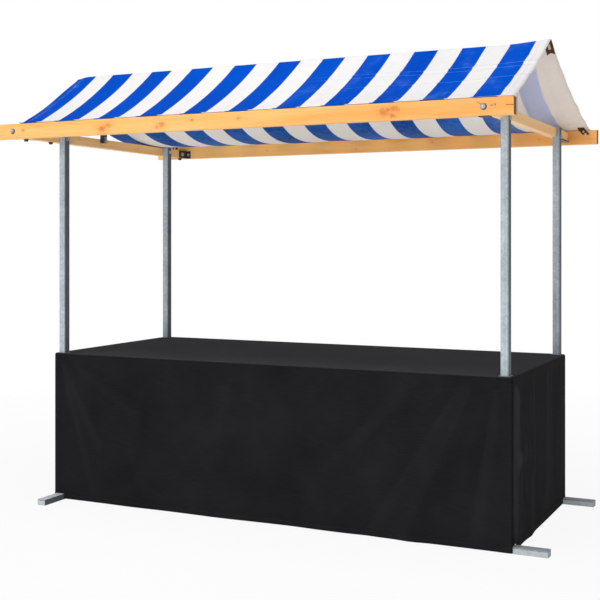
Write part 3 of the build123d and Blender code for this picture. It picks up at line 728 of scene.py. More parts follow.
def cross_place(u, s):
    """The smooth curve's (y, z) at cut coordinates: slack, and taut near the right edge."""
    taut = 0.42 * rise(u, CANVAS_WIDE - 0.42, CANVAS_WIDE - 0.17)
    taut = taut + 0.58 * rise(u, CANVAS_WIDE - 0.13, CANVAS_WIDE)
    y, z = (np.interp(s, even, slack_rows[:, k]) * (1 - taut) + np.interp(s, even, taut_rows[:, k]) * taut
            for k in (0, 1))
    down = np.clip((s - RIDGE_S) / (CANVAS_LONG - RIDGE_S), 0, 1)
    z = z - BELLY_MORE * np.sin(math.pi * down) ** 2 * rise(u, 0.13, 0.45) * rise(CANVAS_WIDE - u, 0.2, 0.5)
    out = np.clip((RIDGE_S - s) / RIDGE_S, 0, 1)
    z = z + 2 * FRONT_SAG * out * (1 - out) * rise(u, CANVAS_WIDE - 0.35, CANVAS_WIDE)
    off_rail = np.maximum(np.abs(front_lo.x + u - rail_mid_r) - 0.026, 0)
    return y, np.maximum(z, rail_r[1].z + 0.0035 - 0.9 * off_rail)


def drawn_along(u, s):
    """How far the cloth is drawn along the stall at cut coordinates."""
    front = s < RIDGE_S
    share = np.abs(s - RIDGE_S) / np.where(front, RIDGE_S, CANVAS_LONG - RIDGE_S)
    flare = np.where(front, LEFT_FLARE - LEFT_TAPER * share, LEFT_FLARE * (1 - share) ** 1.5)
    eave = EAVE_DRAWN * rise(u, 0.05, 0.40) * rise(CANVAS_WIDE - u, 0.05, 1.15) * np.where(front, 1, 0.1)
    slip = BACK_SLIP * np.sin(math.pi * share ** 0.7) * rise(u, 0.2, 0.5) * rise(CANVAS_WIDE - u, 0.2, 0.5)
    ridge = RIDGE_DRAWN * rise(u, 0.05, 0.30) * (1 - rise(u, 0.5, 1.5))
    ridge = ridge * np.where(front, 1 - share, (1 - share) ** 2)
    pinch = 0.034 * rise(u, CANVAS_WIDE - 0.22, CANVAS_WIDE - 0.08)
    pinch = pinch + 0.052 * share * rise(u, CANVAS_WIDE - 0.34, CANVAS_WIDE - 0.14)
    pinch = pinch * rise(CANVAS_WIDE - u, 0, 0.085)
    rear = np.where(front, 0, slip - pinch * rise(share, 0, 0.12))
    return eave * share - ridge + rear - flare * ridge_fold(u, 0, 0.24)


def canvas_surface(u, s, lift=0.0):
    """Places on the canvas's outer face for cut coordinates u and s, in metres."""
    u, s = np.asarray(u, float), np.asarray(s, float)
    y, z = cross_place(u, s)
    (y0, z0), (y1, z1) = cross_place(u, s - 0.002), cross_place(u, s + 0.002)
    ty, tz = y1 - y0, z1 - z0
    size = np.hypot(ty, tz)
    off = canvas_wrinkles(u, s) + hem_step(u, s) + lift
    ends = RIDGE_LIFT * rise(u, CANVAS_WIDE - 0.22, CANVAS_WIDE)
    ends = ends * np.maximum(1 - np.abs(s - RIDGE_S) / 0.34, 0)
    ends = ends - RIDGE_DROOP * (1 - rise(u, 0, 0.07)) * ridge_fold(s, RIDGE_S, 0.12)
    x = front_lo.x + u + drawn_along(u, s)
    return np.stack([x, y - off * tz / size, z + off * ty / size + ends], axis=-1)


def grid_lines(length, coarse, fine_spots):
    """Places along a length: even, with closer lines round given spots."""
    lines = set(np.round(np.linspace(0, length, int(round(length / coarse)) + 1), 5))
    for spot, reach, pitch in fine_spots:
        near = np.arange(spot - reach, spot + reach + pitch / 2, pitch)
        lines |= set(np.round(near[(near >= 0) & (near <= length)], 5))
    ordered = sorted(lines)
    kept = [ordered[0]]
    for line in ordered[1:-1]:
        if line - kept[-1] > 0.0009 and length - line > 0.0009:
            kept.append(line)
    return np.array(kept + [ordered[-1]])


hem_u = [(HEM_WIDE, 0.0015, 0.0015), (CANVAS_WIDE - HEM_WIDE, 0.0015, 0.0015)]
us = grid_lines(CANVAS_WIDE, 0.020, hem_u)
fine_s = [(RIDGE_S - out, 0.024, 0.004) for out, _, _ in CREASES] + [(RIDGE_S, 0.018, 0.003)]
fine_s += [(HEM_WIDE, 0.0015, 0.0015), (CANVAS_LONG - HEM_WIDE, 0.0015, 0.0015)]
fine_s += [(FRONT_LAY, 0.009, 0.003), (CANVAS_LONG - (rear_hi.y - beam_in), 0.009, 0.003)]
ss = grid_lines(CANVAS_LONG, 0.016, fine_s)
grid_u, grid_s = np.meshgrid(us, ss, indexing="ij")
points = canvas_surface(grid_u, grid_s).reshape(-1, 3)
rows = len(ss)
faces = [(i * rows + j, (i + 1) * rows + j, (i + 1) * rows + j + 1, i * rows + j + 1)
         for i in range(len(us) - 1) for j in range(rows - 1)]
canvas_mesh = bpy.data.meshes.new("canopy_canvas")
canvas_mesh.from_pydata(points.tolist(), [], faces)
cut = canvas_mesh.uv_layers.new(name="cut")
loops = np.zeros(len(canvas_mesh.loops), int)
canvas_mesh.loops.foreach_get("vertex_index", loops)
flat_uv = np.column_stack([grid_u.ravel(), grid_s.ravel()])[loops]
cut.data.foreach_set("uv", flat_uv.ravel())
canvas_mesh.polygons.foreach_set("use_smooth", [True] * len(canvas_mesh.polygons))


def striped_canvas(name, blue, white, glare_blue, glare_white, fade, through, shine, sheen_and_seam, deep):
    """Coated canvas; towards the right edge, over fade metres, its colours may turn to the glare colours,
    painted light where light falls on it through the open end, and its blue goes down to a share deep of
    itself in places."""
    finish, tree, shader = new_finish(name)
    uv = add_node(tree, "ShaderNodeUVMap", uv_map="cut").outputs[0]
    u, s, _ = split(tree, uv)
    wobble = noise(tree, uv, 3.0, 1.0) * 0.004 + (u - 0.002)
    wobble = wobble + map_range(tree, u, CANVAS_WIDE - 0.40, CANVAS_WIDE - 0.22, 0, 0.012, True)
    phase = calc(tree, "FRACT", calc(tree, "DIVIDE", wobble + STRIPE_PITCH, STRIPE_PITCH))
    duty, soft = BLUE_WIDE / STRIPE_PITCH, 0.0012 / STRIPE_PITCH
    is_blue = 1.0 - map_range(tree, phase, duty - soft, duty + soft)
    cloud = noise(tree, uv, 2.2, 4.0, 0.55)
    fine = noise(tree, uv, 34.0, 3.0, 0.6)
    # Towards the right edge the colours turn to the glare colours: painted light, for the light that falls in
    # at the open end.
    pale = map_range(tree, u, CANVAS_WIDE - fade, CANVAS_WIDE - 0.25 * fade, 0, 1, True)
    blue_now = blend_colour(tree, pale, blue, glare_blue)
    white_now = blend_colour(tree, pale, white, glare_white)
    deep_blue = blend_colour(tree, 1.0 - pale, blue_now, deep, "MULTIPLY")
    grey_white = blend_colour(tree, 1.0, white_now, (0.955, 0.95, 0.945, 1), "MULTIPLY")
    mottle = map_range(tree, fine * 0.35 + cloud * 0.65, 0.38, 0.62)
    # Painted sheen: patches of lighter blue on the blue stripes near both ends; the same strength also scales
    # the seam line.
    patches = noise(tree, stretched(tree, (1, 0.55, 1), uv), 8.0, 3.0)
    sheen_ends = calc(tree, "MAXIMUM", map_range(tree, u, 1.3, 2.3), map_range(tree, u, 0.17, 0.10))
    sheen = map_range(tree, patches, 0.50, 0.72, 0, 0.55, True) * sheen_ends
    bright_blue = blend_colour(tree, sheen * sheen_and_seam, blue_now, (0.15, 0.32, 0.93, 1))
    colour = blend_colour(tree, is_blue, blend_colour(tree, mottle, grey_white, white_now),
                          blend_colour(tree, mottle, deep_blue, bright_blue))
    # Darker lines: the hem seams' own line, and along the ridge fold a line of painted shade.
    edge = calc(tree, "MINIMUM", u, CANVAS_WIDE - u, s, CANVAS_LONG - s)
    seam = map_range(tree, abs(edge - HEM_WIDE), 0.0008, 0.0022, 0.13 * sheen_and_seam, 0)
    ridge_shade = map_range(tree, abs(s - RIDGE_S), 0.0015, 0.0045, 0.55, 0)
    colour = blend_colour(tree, calc(tree, "MAXIMUM", seam, ridge_shade), colour, (0.30, 0.32, 0.42, 1), "MULTIPLY")
    # Painted highlights: lighter lines along the first three creases, on the right half.
    wear_and_crease_highlight = 0.0
    for out, _, bend in CREASES[:3]:
        from_line = abs(s - (RIDGE_S - out) - wave(tree, u, CREASE_WAVE) * bend)
        wear_and_crease_highlight = calc(tree, "MAXIMUM", wear_and_crease_highlight, map_range(tree, from_line, 0.001, 0.004, 1, 0))
    wear_and_crease_highlight = wear_and_crease_highlight * map_range(tree, u, 1.2, 2.5, 0, 0.42) * map_range(tree, fine, 0.35, 0.6, 0.3, 1)
    colour = blend_colour(tree, wear_and_crease_highlight, colour, (0.36, 0.52, 0.92, 1))
    set_inputs(tree, shader, {"Base Color": colour, "IOR": shine,
                              "Roughness": map_range(tree, cloud, 0.3, 0.7, 0.40, 0.52)})
    weave = wave(tree, u, 0.0016) * wave(tree, s, 0.0016)
    bump(tree, shader, weave * 0.10 + (fine + cloud), 0.0012)
    glow_through = add_node(tree, "ShaderNodeBsdfTranslucent", {"Color": colour}).outputs[0]
    both = add_node(tree, "ShaderNodeMixShader", {0: through, 1: shader.outputs[0], 2: glow_through})
    set_inputs(tree, tree.nodes["Material Output"], {"Surface": both.outputs[0]})
    return finish


def thicken(piece, thickness, offset):
    """Gives a sheet its thickness: offset -1 keeps its outer face, 0 its middle."""
    wall = piece.modifiers.new("thickness", "SOLIDIFY")
    wall.thickness, wall.offset = thickness, offset
    return wall


OUTER_BLUE, OUTER_WHITE = (0.0005, 0.092, 0.64, 1), (0.92, 0.905, 0.915, 1)
INNER_BLUE, INNER_WHITE = (0.040, 0.195, 0.62, 1), (0.94, 0.905, 0.85, 1)
outer_canvas = striped_canvas("canvas_outer", OUTER_BLUE, OUTER_WHITE, OUTER_BLUE, OUTER_WHITE,
                              0.5, 0.12, 1.03, 1.0, (0.80, 0.80, 0.86, 1))
# The inner face's paler glare colours at the right end are painted light.
inner_canvas = striped_canvas("canvas_inner", INNER_BLUE, INNER_WHITE, (0.80, 0.83, 0.90, 1),
                              (0.96, 0.89, 0.82, 1), 0.46, 0.40, 1.10, 0.2, (0.10, 0.34, 0.46, 1))
canvas_mesh.materials.append(outer_canvas)
canvas_mesh.materials.append(inner_canvas)
canopy = place_piece("canopy_canvas", canvas_mesh)
wall = thicken(canopy, CANVAS, -1.0)
wall.material_offset, wall.use_even_offset = 1, True
apply_modifiers(canopy)
canopy.data.polygons.foreach_set("use_smooth", [True] * len(canopy.data.polygons))
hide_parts("canopy_front_slope", "canopy_rear_slope")


def stitch_tree(name):
    """Geometry Nodes: short rounded stitches at even steps along a line."""
    tree, given = start_tree(name, Pitch="Float", Stitch="Vector")
    line = add_node(tree, "GeometryNodeMeshToCurve", {0: given["Geometry"]}).outputs[0]
    spots = add_node(tree, "GeometryNodeResampleCurve", {"Curve": line, "Length": given["Pitch"]},
                     mode="LENGTH").outputs[0]
    bead = add_node(tree, "GeometryNodeMeshUVSphere", {"Segments": 6, "Rings": 4, "Radius": 0.5})
    stitch = add_node(tree, "GeometryNodeTransform",
                      {"Geometry": bead.outputs["Mesh"], "Scale": given["Stitch"]}).outputs[0]
    tangent = add_node(tree, "GeometryNodeInputTangent").outputs[0]
    turn = add_node(tree, "FunctionNodeAlignRotationToVector", {"Vector": tangent}, axis="X").outputs[0]
    end_tree(tree, spots, stitch, turn, given["Material"])
    return tree


def line_mesh(name, lines):
    """Open lines of points as one mesh of edges."""
    verts, edges = [], []
    for line in lines:
        start = len(verts)
        verts += [tuple(point) for point in line]
        edges += [(start + k, start + k + 1) for k in range(len(line) - 1)]
    mesh = bpy.data.meshes.new(name)
    mesh.from_pydata(verts, edges, [])
    return mesh


def thread(name, colour):
    """Sewing thread with a twist and a little fluff."""
    finish, tree, shader = new_finish(name)
    twist = noise(tree, coordinates(tree, "Object"), 900.0, 2.0)
    set_inputs(tree, shader, {"Base Color": blend_colour(tree, twist, toned(colour, 0.7), colour),
                              "Roughness": 0.7})
    bump(tree, shader, twist, 0.0003)
    return finish


SEAM_IN = HEM_WIDE - 0.007
STITCH_PITCH, STITCH, STITCH_LIFT = 0.0075, (0.0055, 0.0012, 0.0012), 0.0002
along_s = np.linspace(SEAM_IN, CANVAS_LONG - SEAM_IN, 240)
along_u = np.linspace(SEAM_IN, CANVAS_WIDE - SEAM_IN, 200)
seams = [(np.full_like(along_s, u), along_s) for u in (SEAM_IN, CANVAS_WIDE - SEAM_IN)]
seams += [(along_u, np.full_like(along_u, s)) for s in (SEAM_IN, CANVAS_LONG - SEAM_IN)]
seams = [canvas_surface(u, s, STITCH_LIFT) for u, s in seams]
white_thread = thread("white_thread", (0.80, 0.78, 0.75, 1))
sewn = run_nodes("canopy_stitching", line_mesh("seams", seams), stitch_tree("stitching"),
                 {"Pitch": STITCH_PITCH, "Stitch": STITCH, "Material": white_thread})
canopy_stitching = place_piece("canopy_stitching", sewn)


# ------------------------------------------------------------------- the straps
# Brown webbing sewn to the underside of the canopy: one at each end of the ridge
# with a swallowtail end and an eyelet, and one at each rear corner with two studs.
def webbing(name, colour):
    """Woven tape: ribs across and soft fluff."""
    finish, tree, shader = new_finish(name)
    uv = add_node(tree, "ShaderNodeUVMap", uv_map="cut").outputs[0]
    across, along, _ = split(tree, uv)
    weave = wave(tree, along, 0.0022) * wave(tree, across, 0.0030)
    shade = weave * 0.18 + noise(tree, uv, 260.0, 3.0)
    colour = blend_colour(tree, map_range(tree, shade, 0.3, 0.75), toned(colour, 0.45), colour)
    set_inputs(tree, shader, {"Base Color": colour, "Roughness": 0.8, "Specular IOR Level": 0.2})
    bump(tree, shader, shade, 0.0007)
    return finish


brown_webbing = webbing("brown_webbing", (0.105, 0.036, 0.014, 1))
STRAP_WIDE, STRAP_THICK = 0.038, 0.0022
ALONG_X = Vector((1, 0, 0))
UNDER = -CANVAS - 0.0022    # the straps' middle, measured from the canopy's outer face


def under_canvas(x, s):
    """The place just below the canopy at the given x and cut length s."""
    u = x - front_lo.x
    for _ in range(12):
        u = u + 0.8 * (x - canvas_surface(u, s)[0])
    return canvas_surface(u, s, UNDER)


def ribbon(name, line, notch, s_line=None):
    """A flat strap along a line of points, its width along X, and its far end cut to
    a swallowtail of the given depth. With s_line, the line's cut lengths, the whole
    strap lies against the canopy."""
    columns = 9
    line = [Vector(point) for point in line]
    shape = bmesh.new()
    sheet_uv = shape.loops.layers.uv.new("cut")
    grid, flat, reach = [], [], 0.0
    for row, point in enumerate(line):
        reach += (point - line[row - 1]).length if row else 0.0
        way = (line[min(row + 1, len(line) - 1)] - line[max(row - 1, 0)]).normalized()
        share = row / (len(line) - 1)
        cells, cuts = [], []
        for column in range(columns):
            across = column / (columns - 1) - 0.5
            cut = notch * share ** 3 * (1 - 2 * abs(across))
            spot = point + ALONG_X * across * STRAP_WIDE - way * cut
            if s_line is not None:
                spot = under_canvas(spot.x, s_line[row] - cut)
            cells.append(shape.verts.new(spot))
            cuts.append((across * STRAP_WIDE, reach - cut))
        grid.append(cells)
        flat.append(cuts)
    for row in range(len(line) - 1):
        for column in range(columns - 1):
            spots = ((row, column), (row + 1, column), (row + 1, column + 1), (row, column + 1))
            made = shape.faces.new([grid[r][c] for r, c in spots])
            made.smooth = True
            for loop, (r, c) in zip(made.loops, spots):
                loop[sheet_uv].uv = flat[r][c]
    mesh = bpy.data.meshes.new(name)
    shape.to_mesh(mesh)
    shape.free()
    mesh.materials.append(brown_webbing)
    return mesh


def strap(name, line, notch, node, s_line=None):
    """A ribbon as a piece that stands for a CAD strap."""
    piece = place_piece(name, ribbon(name, line, notch, s_line))
    thicken(piece, STRAP_THICK, 0.0)
    soften(piece, 0.0006)
    apply_modifiers(piece)
    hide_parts(node)


RIDGE_STRAP, CORNER_RUN, CORNER_DROP = 0.122, 0.055, 0.026
EYELET_AT, EYELET_WIDE, EYELET_LONG = 0.058, 0.0055, 0.019
STUD = (0.0042, 0.0016, 0.0062)
LAY_S = CANVAS_LONG - (rear_hi.y - beam_in)     # where the rear slope meets its beam
studs = []
eyelet_thread = thread("eyelet_thread", (0.62, 0.46, 0.36, 1))
for end in ("left", "right"):
    lo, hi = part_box(f"ridge_strap_{end}")
    middle_u = (lo.x + hi.x) / 2 - front_lo.x + (0.006 if end == "right" else -0.006)
    s_line = RIDGE_S + 0.004 + np.linspace(0, RIDGE_STRAP, 16)
    under = canvas_surface(np.full_like(s_line, middle_u), s_line, UNDER)
    strap(f"ridge_strap_{end}_webbing", under, 0.016, f"ridge_strap_{end}", s_line)
    turns = np.linspace(0, 2 * math.pi, 33)[:-1]
    slit_u = middle_u + EYELET_WIDE * np.cos(turns)
    slit_s = RIDGE_S + EYELET_AT + EYELET_WIDE * np.sin(turns) + EYELET_LONG * np.sign(np.sin(turns))
    slit = bpy.data.meshes.new(f"ridge_strap_{end}_eyelet")
    slit.from_pydata(canvas_surface(slit_u, slit_s, UNDER - 0.0014).tolist(), [], [list(range(32))])
    slit.materials.append(eyelet_thread)
    eyelet = place_piece(f"ridge_strap_{end}_eyelet", slit)
    thicken(eyelet, 0.0008, 0.0)
    apply_modifiers(eyelet)
    lo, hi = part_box(f"corner_strap_{end}")
    middle_u = (lo.x + hi.x) / 2 - front_lo.x
    s_line = LAY_S - np.linspace(CORNER_RUN, 0.006, 9)
    line = [Vector(spot) for spot in canvas_surface(np.full_like(s_line, middle_u), s_line, UNDER)]
    lean = 0.022 if end == "right" else -0.010
    drop = np.linspace(0.2, 1, 7)
    line += [Vector((line[-1].x + lean * k, beam_in - 0.0022, line[-1].z - CORNER_DROP * k)) for k in drop]
    strap(f"corner_strap_{end}_webbing", line, 0.0, f"corner_strap_{end}")
    studs += [tuple(line[k] + Vector((0, -0.0012, 0))) for k in (10, 14)]

stud_zinc = zinc_plate("stud_nickel", (0.82, 0.80, 0.76, 1), 0.6, 0.32, 0.1)
bolt_group("strap_studs", ((studs, TO_FRONT, *STUD),), stud_zinc, 0.0004)


# ---------------------------------------------------------- table board and cloth
# A plywood board on the table's tubes under a fitted cover of black polyester: a
# tight top with hemmed holes for the posts, and skirts that hang to the floor.
def plywood(name):
    """Plywood, its plies showing as lines along the edges."""
    finish, tree, shader = new_finish(name)
    place = coordinates(tree, "Object")
    grain = noise(tree, stretched(tree, (2, 40, 40), place), 1.0, 4.0)
    shade = wave(tree, split(tree, place)[2], 0.0044) * 0.12 + grain
    shade = map_range(tree, shade, 0.3, 0.7)
    colour = blend_colour(tree, shade, (0.36, 0.22, 0.11, 1), (0.60, 0.42, 0.24, 1))
    set_inputs(tree, shader, {"Base Color": colour, "Roughness": 0.6})
    bump(tree, shader, grain, 0.0005)
    return finish


refinish(["table_board"], plywood("table_plywood"))

cover_lo, cover_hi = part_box("cloth_top")
skirt_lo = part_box("skirt_front")[0]
CLOTH, EDGE_ROUND = 0.0015, 0.011       # the sheet's thickness, and its round edge at the top
HOLE_GAP, HOLE_HEM = 0.0015, 0.005      # round the posts
NOTCH_GAP, HEM_HIGH = 0.003, 0.028      # round the feet, and the hem at the ground


def cover_lines(low, high, coarse, spots):
    """Grid places between two edges, through the given spots."""
    inner = [low + EDGE_ROUND, high - EDGE_ROUND]
    lines = list(np.linspace(inner[0], inner[1], int(round((inner[1] - inner[0]) / coarse)) + 1))
    lines = [line for line in lines if all(abs(line - spot) > 0.006 for spot in spots)]
    return np.array(sorted(set(lines + list(spots) + inner)))


holes = {c: (post[c][0] - Vector((HOLE_GAP,) * 3), post[c][1] + Vector((HOLE_GAP,) * 3)) for c in CORNERS}
foot = {c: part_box(f"foot_{c}") for c in CORNERS}


def edge_spots(axis, notched):
    """Where the cover's grid has to run: the edges of its holes and of its notches."""
    spots = {round(v, 5) for lo, hi in holes.values()
             for v in (lo[axis], hi[axis], lo[axis] - HOLE_HEM, hi[axis] + HOLE_HEM)}
    spots = {v for v in spots if cover_lo[axis] + EDGE_ROUND < v < cover_hi[axis] - EDGE_ROUND}
    for lo, hi in (foot[c] for c in notched):
        spots |= {lo[axis] - NOTCH_GAP, hi[axis] + NOTCH_GAP}
    return sorted(spots)


xs = cover_lines(cover_lo.x, cover_hi.x, 0.016, edge_spots(0, CORNERS[:1]))
ys = cover_lines(cover_lo.y, cover_hi.y, 0.016, edge_spots(1, CORNERS[1:]))


def cover_ring():
    """The skirt's columns in order round the table, from the front left corner:
    base point, outward normal, and distance along the hem."""
    corner_turns = 5
    arc = EDGE_ROUND * math.pi / 2
    sides = (
        [((x, ys[0]), (0, -1)) for x in xs], [((xs[-1], y), (1, 0)) for y in ys],
        [((x, ys[-1]), (0, 1)) for x in xs[::-1]], [((xs[0], y), (-1, 0)) for y in ys[::-1]],
    )
    ring, run = [], 0.0
    for side in sides:
        start = side[0][0]
        for base, normal in side:
            ring.append((base, normal, run + math.dist(start, base)))
        run += math.dist(start, side[-1][0])
        angle = math.atan2(side[0][1][1], side[0][1][0])
        for k in range(1, corner_turns):
            turn = angle + math.pi / 2 * k / corner_turns
            ring.append((side[-1][0], (math.cos(turn), math.sin(turn)), run + arc * k / corner_turns))
        run += arc
    return ring, run


ring, HEM_ROUND = cover_ring()
LONG_SIDE, SHORT_SIDE, ARC = xs[-1] - xs[0], ys[-1] - ys[0], EDGE_ROUND * math.pi / 2
side_starts = (0.0, LONG_SIDE + ARC, LONG_SIDE + SHORT_SIDE + 2 * ARC, 2 * LONG_SIDE + SHORT_SIDE + 3 * ARC)
# soft folds of the skirts: start (along, height), end (along, height), width, height
FRONT_FOLDS = (
    (2.28, 0.74, 1.83, 0.06, 0.046, -0.0127), (2.37, 0.75, 2.06, 0.04, 0.050, 0.0145),
    (2.45, 0.70, 2.33, 0.08, 0.034, -0.0119), (2.14, 0.77, 1.58, 0.22, 0.060, 0.0102),
    (1.95, 0.70, 1.45, 0.10, 0.080, -0.0085), (0.06, 0.75, 0.32, 0.33, 0.034, 0.0102),
    (0.05, 0.62, 0.20, 0.08, 0.038, -0.0093), (0.12, 0.77, 0.58, 0.50, 0.044, 0.0076),
    (0.90, 0.40, 1.35, 0.14, 0.130, -0.0102), (1.12, 0.62, 1.02, 0.10, 0.110, 0.0085),
    (0.60, 0.60, 0.50, 0.08, 0.090, 0.0076), (2.20, 0.16, 2.46, 0.13, 0.034, 0.0076),
)
RIGHT_FOLDS = (
    (0.045, 0.74, 0.050, 0.05, 0.018, -0.0095), (0.075, 0.77, 0.120, 0.40, 0.024, 0.0150),
    (0.120, 0.42, 0.090, 0.05, 0.034, 0.0100), (0.085, 0.77, 0.270, 0.42, 0.040, 0.0120),
    (0.190, 0.70, 0.230, 0.25, 0.036, -0.0090), (0.340, 0.76, 0.375, 0.34, 0.045, 0.0110),
    (0.460, 0.72, 0.470, 0.10, 0.050, -0.0080), (0.640, 0.75, 0.620, 0.20, 0.065, 0.0100),
    (0.830, 0.74, 0.850, 0.18, 0.060, -0.0080), (0.980, 0.75, 0.960, 0.20, 0.040, 0.0090),
    (0.300, 0.24, 0.330, 0.03, 0.045, 0.0080),
)
dice = random.Random(7)


def hung_folds(length, count, height):
    """Folds for a skirt that hangs freely, spread evenly with some scatter."""
    folds = []
    for k in range(count):
        at = length * (k + 0.5) / count + dice.uniform(-0.02, 0.02)
        lean = dice.uniform(-0.10, 0.10)
        sign = 1 if k % 2 else -1
        folds.append((at, dice.uniform(0.62, 0.76), at + lean, 0.03,
                      dice.uniform(0.024, 0.045), sign * height * dice.uniform(0.6, 1.0)))
    return tuple(folds)


FOLDS = (FRONT_FOLDS, RIGHT_FOLDS, hung_folds(LONG_SIDE, 23, 0.0045), hung_folds(SHORT_SIDE, 10, 0.0060))


def skirt_off(p, z):
    """How far a skirt stands off its flat face at distance p along the hem."""
    off = np.zeros(np.broadcast(p, z).shape)
    for start, length, folds in zip(side_starts, (LONG_SIDE, SHORT_SIDE) * 2, FOLDS):
        a = p - start
        inside = rise(a, 0.0, 0.03) * rise(length - a, 0.0, 0.03)
        for a0, z0, a1, z1, wide, high in folds:
            way = np.array([a1 - a0, z1 - z0])
            t = np.clip(((a - a0) * way[0] + (z - z0) * way[1]) / (way @ way), 0, 1)
            near = np.hypot(a - a0 - t * way[0], z - z0 - t * way[1])
            off = off + high * np.exp(-(near / (wide * (0.6 + 0.7 * t))) ** 2) * inside
        corner = np.exp(-(np.minimum(np.abs(a), np.abs(a - length)) / 0.05) ** 2)
        off = off + 0.0022 * corner * np.sin(2 * math.pi * z / 0.075 + start + 1.5 * np.sin(23 * z)) * inside
    off = off * rise(cover_hi.z - z, 0.008, 0.11)
    hem = 1 - rise(z, skirt_lo.z + HEM_HIGH - 0.0015, skirt_lo.z + HEM_HIGH + 0.0015)
    return off + HEM_RAISE * hem


def skirt_place(base, normal, p, z, lift=0.0):
    """A place on the skirt's outer face."""
    off = EDGE_ROUND + skirt_off(p, z) + lift
    return np.stack([base[0] + normal[0] * off, base[1] + normal[1] * off, z + 0 * off], axis=-1)


def top_ripple(x, y):
    """Slight waves of the top, never below the flat."""
    ripple = np.sin(5.1 * x + 2.3 * np.sin(1.9 * y)) * np.sin(7.3 * y + 1.7 * x + 0.5)
    inner = rise(x - xs[0], 0, 0.1) * rise(xs[-1] - x, 0, 0.1) * rise(y - ys[0], 0, 0.1)
    return 0.0010 * (1 + ripple) * inner * rise(ys[-1] - y, 0, 0.1)


cover_points, cover_faces, cover_cut, cover_finish = [], [], [], []
columns = len(ys)
for x in xs:
    for y in ys:
        cover_points.append((x, y, cover_hi.z + float(top_ripple(x, y))))
for i in range(len(xs) - 1):
    for j in range(columns - 1):
        x, y = (xs[i] + xs[i + 1]) / 2, (ys[j] + ys[j + 1]) / 2
        hole = [max(lo.x - x, x - hi.x, lo.y - y, y - hi.y) for lo, hi in holes.values()]
        if min(hole) < 0:
            continue
        cells = (i * columns + j, (i + 1) * columns + j, (i + 1) * columns + j + 1, i * columns + j + 1)
        cover_faces.append(cells)
        cover_cut.append([cover_points[cell][:2] for cell in cells])
        cover_finish.append(1 if min(hole) < HOLE_HEM else 0)

index_of = {(round(x, 5), round(y, 5)): i * columns + j for i, x in enumerate(xs) for j, y in enumerate(ys)}
edge_turns = 4
falls = [EDGE_ROUND * (1 - math.cos(math.pi / 2 * k / edge_turns)) for k in range(1, edge_turns)]
outs = [EDGE_ROUND * math.sin(math.pi / 2 * k / edge_turns) for k in range(1, edge_turns)]
skirt_top = cover_hi.z - EDGE_ROUND
notch_top = foot["front_left"][1].z + NOTCH_GAP
levels = list(np.linspace(skirt_top, notch_top + 0.02, 38)) + [
    notch_top, skirt_lo.z + HEM_HIGH + 0.0015, skirt_lo.z + HEM_HIGH - 0.0015, skirt_lo.z + 0.014, skirt_lo.z]
levels = sorted(set(levels), reverse=True)
ring_rows = []
for base, normal, p in ring:
    column = [index_of[(round(base[0], 5), round(base[1], 5))]]
    for fall, out in zip(falls, outs):
        column.append(len(cover_points))
        cover_points.append((base[0] + normal[0] * out, base[1] + normal[1] * out, cover_hi.z - fall))
    spots = skirt_place(base, normal, p, np.array(levels))
    for spot in spots:
        column.append(len(cover_points))
        cover_points.append(tuple(spot))
    ring_rows.append((column, p))


def in_notch(x, y, z):
    """True where a skirt is cut out over a foot."""
    if z > notch_top:
        return False
    return any(lo.x - NOTCH_GAP < x < hi.x + NOTCH_GAP and lo.y - NOTCH_GAP < y < hi.y + NOTCH_GAP
               for lo, hi in foot.values())


for k, (column, p) in enumerate(ring_rows):
    other, other_p = ring_rows[(k + 1) % len(ring_rows)]
    other_p = other_p if k + 1 < len(ring_rows) else HEM_ROUND
    for row in range(len(column) - 1):
        cells = [column[row], column[row + 1], other[row + 1], other[row]]
        uv = [(p, -row), (p, -row - 1), (other_p, -row - 1), (other_p, -row)]
        centre = np.mean([cover_points[cell] for cell in cells], axis=0)
        if in_notch(*centre):
            continue
        heights = [cover_points[cell][2] for cell in cells]
        keep = [m for m, cell in enumerate(cells) if cell not in cells[:m]]
        if len(keep) < 3:
            continue
        cover_faces.append([cells[m] for m in keep])
        cover_cut.append([(uv[m][0], 2.0 + heights[m]) for m in keep])
        cover_finish.append(0)

cover_mesh = bpy.data.meshes.new("table_cover")
cover_mesh.from_pydata(cover_points, [], cover_faces)
cut = cover_mesh.uv_layers.new(name="cut")
cut.data.foreach_set("uv", np.array([spot for cells in cover_cut for spot in cells], float).ravel())
cover_mesh.polygons.foreach_set("material_index", cover_finish)
cover_mesh.polygons.foreach_set("use_smooth", [True] * len(cover_faces))
cleaner = bmesh.new()
cleaner.from_mesh(cover_mesh)
bmesh.ops.delete(cleaner, geom=[v for v in cleaner.verts if not v.link_faces], context="VERTS")
bmesh.ops.recalc_face_normals(cleaner, faces=cleaner.faces)
top_face = max(cleaner.faces, key=lambda face: face.calc_center_median().z)
if top_face.normal.z < 0:
    bmesh.ops.reverse_faces(cleaner, faces=cleaner.faces)
COVER_AREA = sum(face.calc_area() for face in cleaner.faces)
cleaner.to_mesh(cover_mesh)
cleaner.free()


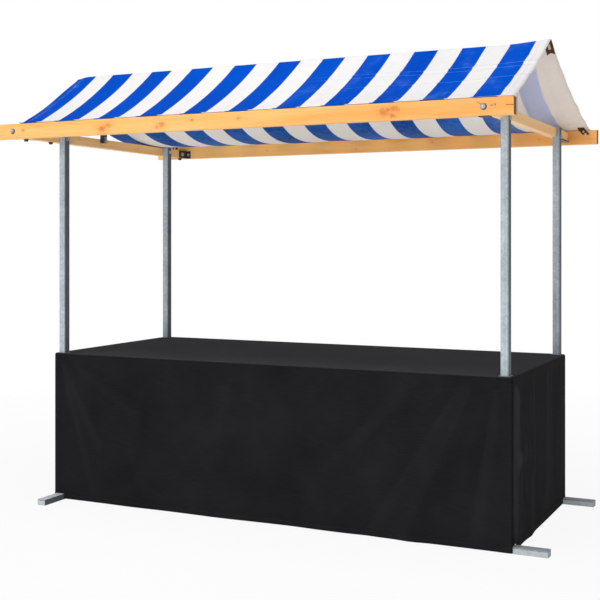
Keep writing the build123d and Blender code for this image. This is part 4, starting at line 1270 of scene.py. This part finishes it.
def black_polyester(name, base, sheen):
    """Plain woven polyester: a fine weave, faint cloudiness and a soft sheen, with painted sheen that makes
    the top and the folds' flanks turned to the light lighter, and a dark seam at the front right corner."""
    finish, tree, shader = new_finish(name)
    uv = add_node(tree, "ShaderNodeUVMap", uv_map="cut").outputs[0]
    u, v, _ = split(tree, uv)
    slub = noise(tree, stretched(tree, (14, 260, 1), uv), 1.0, 3.0)
    cloud = noise(tree, uv, 3.0, 4.0)
    shade = slub * 0.4 + cloud * 0.6
    colour = blend_colour(tree, map_range(tree, shade, 0.34, 0.66), toned(base, 0.72), toned(base, 1.22))
    face_x, face_y, face_z = split(tree, coordinates(tree, "Normal"))
    # Painted sheen: top faces are lighter.
    painted_sheen_colour = toned(base, 4.6)
    colour = blend_colour(tree, map_range(tree, face_z, 0.4, 0.95), colour, painted_sheen_colour)
    from_corner = abs(u - (side_starts[1] + 0.004))
    # More painted sheen: on the right-facing skirt, flanks turned to the front are lighter away from the
    # corner, and on the front skirt, flanks turned to the left are a little lighter.
    ridge = map_range(tree, face_y, -0.05, -0.50, 0, 0.46, True) * map_range(tree, face_x, 0.4, 0.7)
    ridge = ridge * map_range(tree, from_corner, 0.018, 0.045, 0, 1, True)
    broad = map_range(tree, face_x, 0.0, -0.16, 0, 0.045, True) * (face_y < -0.5)
    colour = blend_colour(tree, ridge + broad, colour, painted_sheen_colour)
    corner = map_range(tree, from_corner, 0.003, 0.012, 0.75, 0, True) * (v > 1.9)
    colour = blend_colour(tree, corner, colour, (0.002, 0.002, 0.002, 1))
    set_inputs(tree, shader, {
        "Base Color": colour, "Roughness": map_range(tree, cloud, 0.3, 0.7, 0.78, 0.92),
        "IOR": 1.07, "Sheen Weight": sheen, "Sheen Roughness": 0.45})
    bump(tree, shader, wave(tree, u, 0.0013) * wave(tree, v, 0.0013) * 0.12 + shade, 0.0012)
    return finish


cover_mesh.materials.append(black_polyester("black_polyester", (0.0130, 0.0130, 0.0146, 1), 0.018))
cover_mesh.materials.append(black_polyester("grey_binding", (0.16, 0.16, 0.17, 1), 0.10))
cover = place_piece("table_cover", cover_mesh)
thicken(cover, CLOTH, -1.0)
apply_modifiers(cover)
cover.data.polygons.foreach_set("use_smooth", [True] * len(cover.data.polygons))
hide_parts("cloth_top", "skirt_front", "skirt_rear", "skirt_left", "skirt_right")

hem_z_line = skirt_lo.z + HEM_HIGH - 0.006
hem_lines, line = [], []
for base, normal, p in ring:
    spot = skirt_place(base, normal, p, np.array(hem_z_line), STITCH_LIFT)
    if in_notch(*spot):
        hem_lines += [line] if len(line) > 1 else []
        line = []
    else:
        line.append(tuple(float(v) for v in spot))
hem_lines += [line] if len(line) > 1 else []
COVER_PITCH, COVER_STITCH = 0.009, (0.006, 0.0011, 0.0011)
black_thread = thread("black_thread", (0.030, 0.029, 0.033, 1))
hemmed = run_nodes("cover_stitching", line_mesh("hem_lines", hem_lines), stitch_tree("hem_stitching"),
                   {"Pitch": COVER_PITCH, "Stitch": COVER_STITCH, "Material": black_thread})
cover_stitching = place_piece("cover_stitching", hemmed)
drop = cover_hi.z - skirt_lo.z
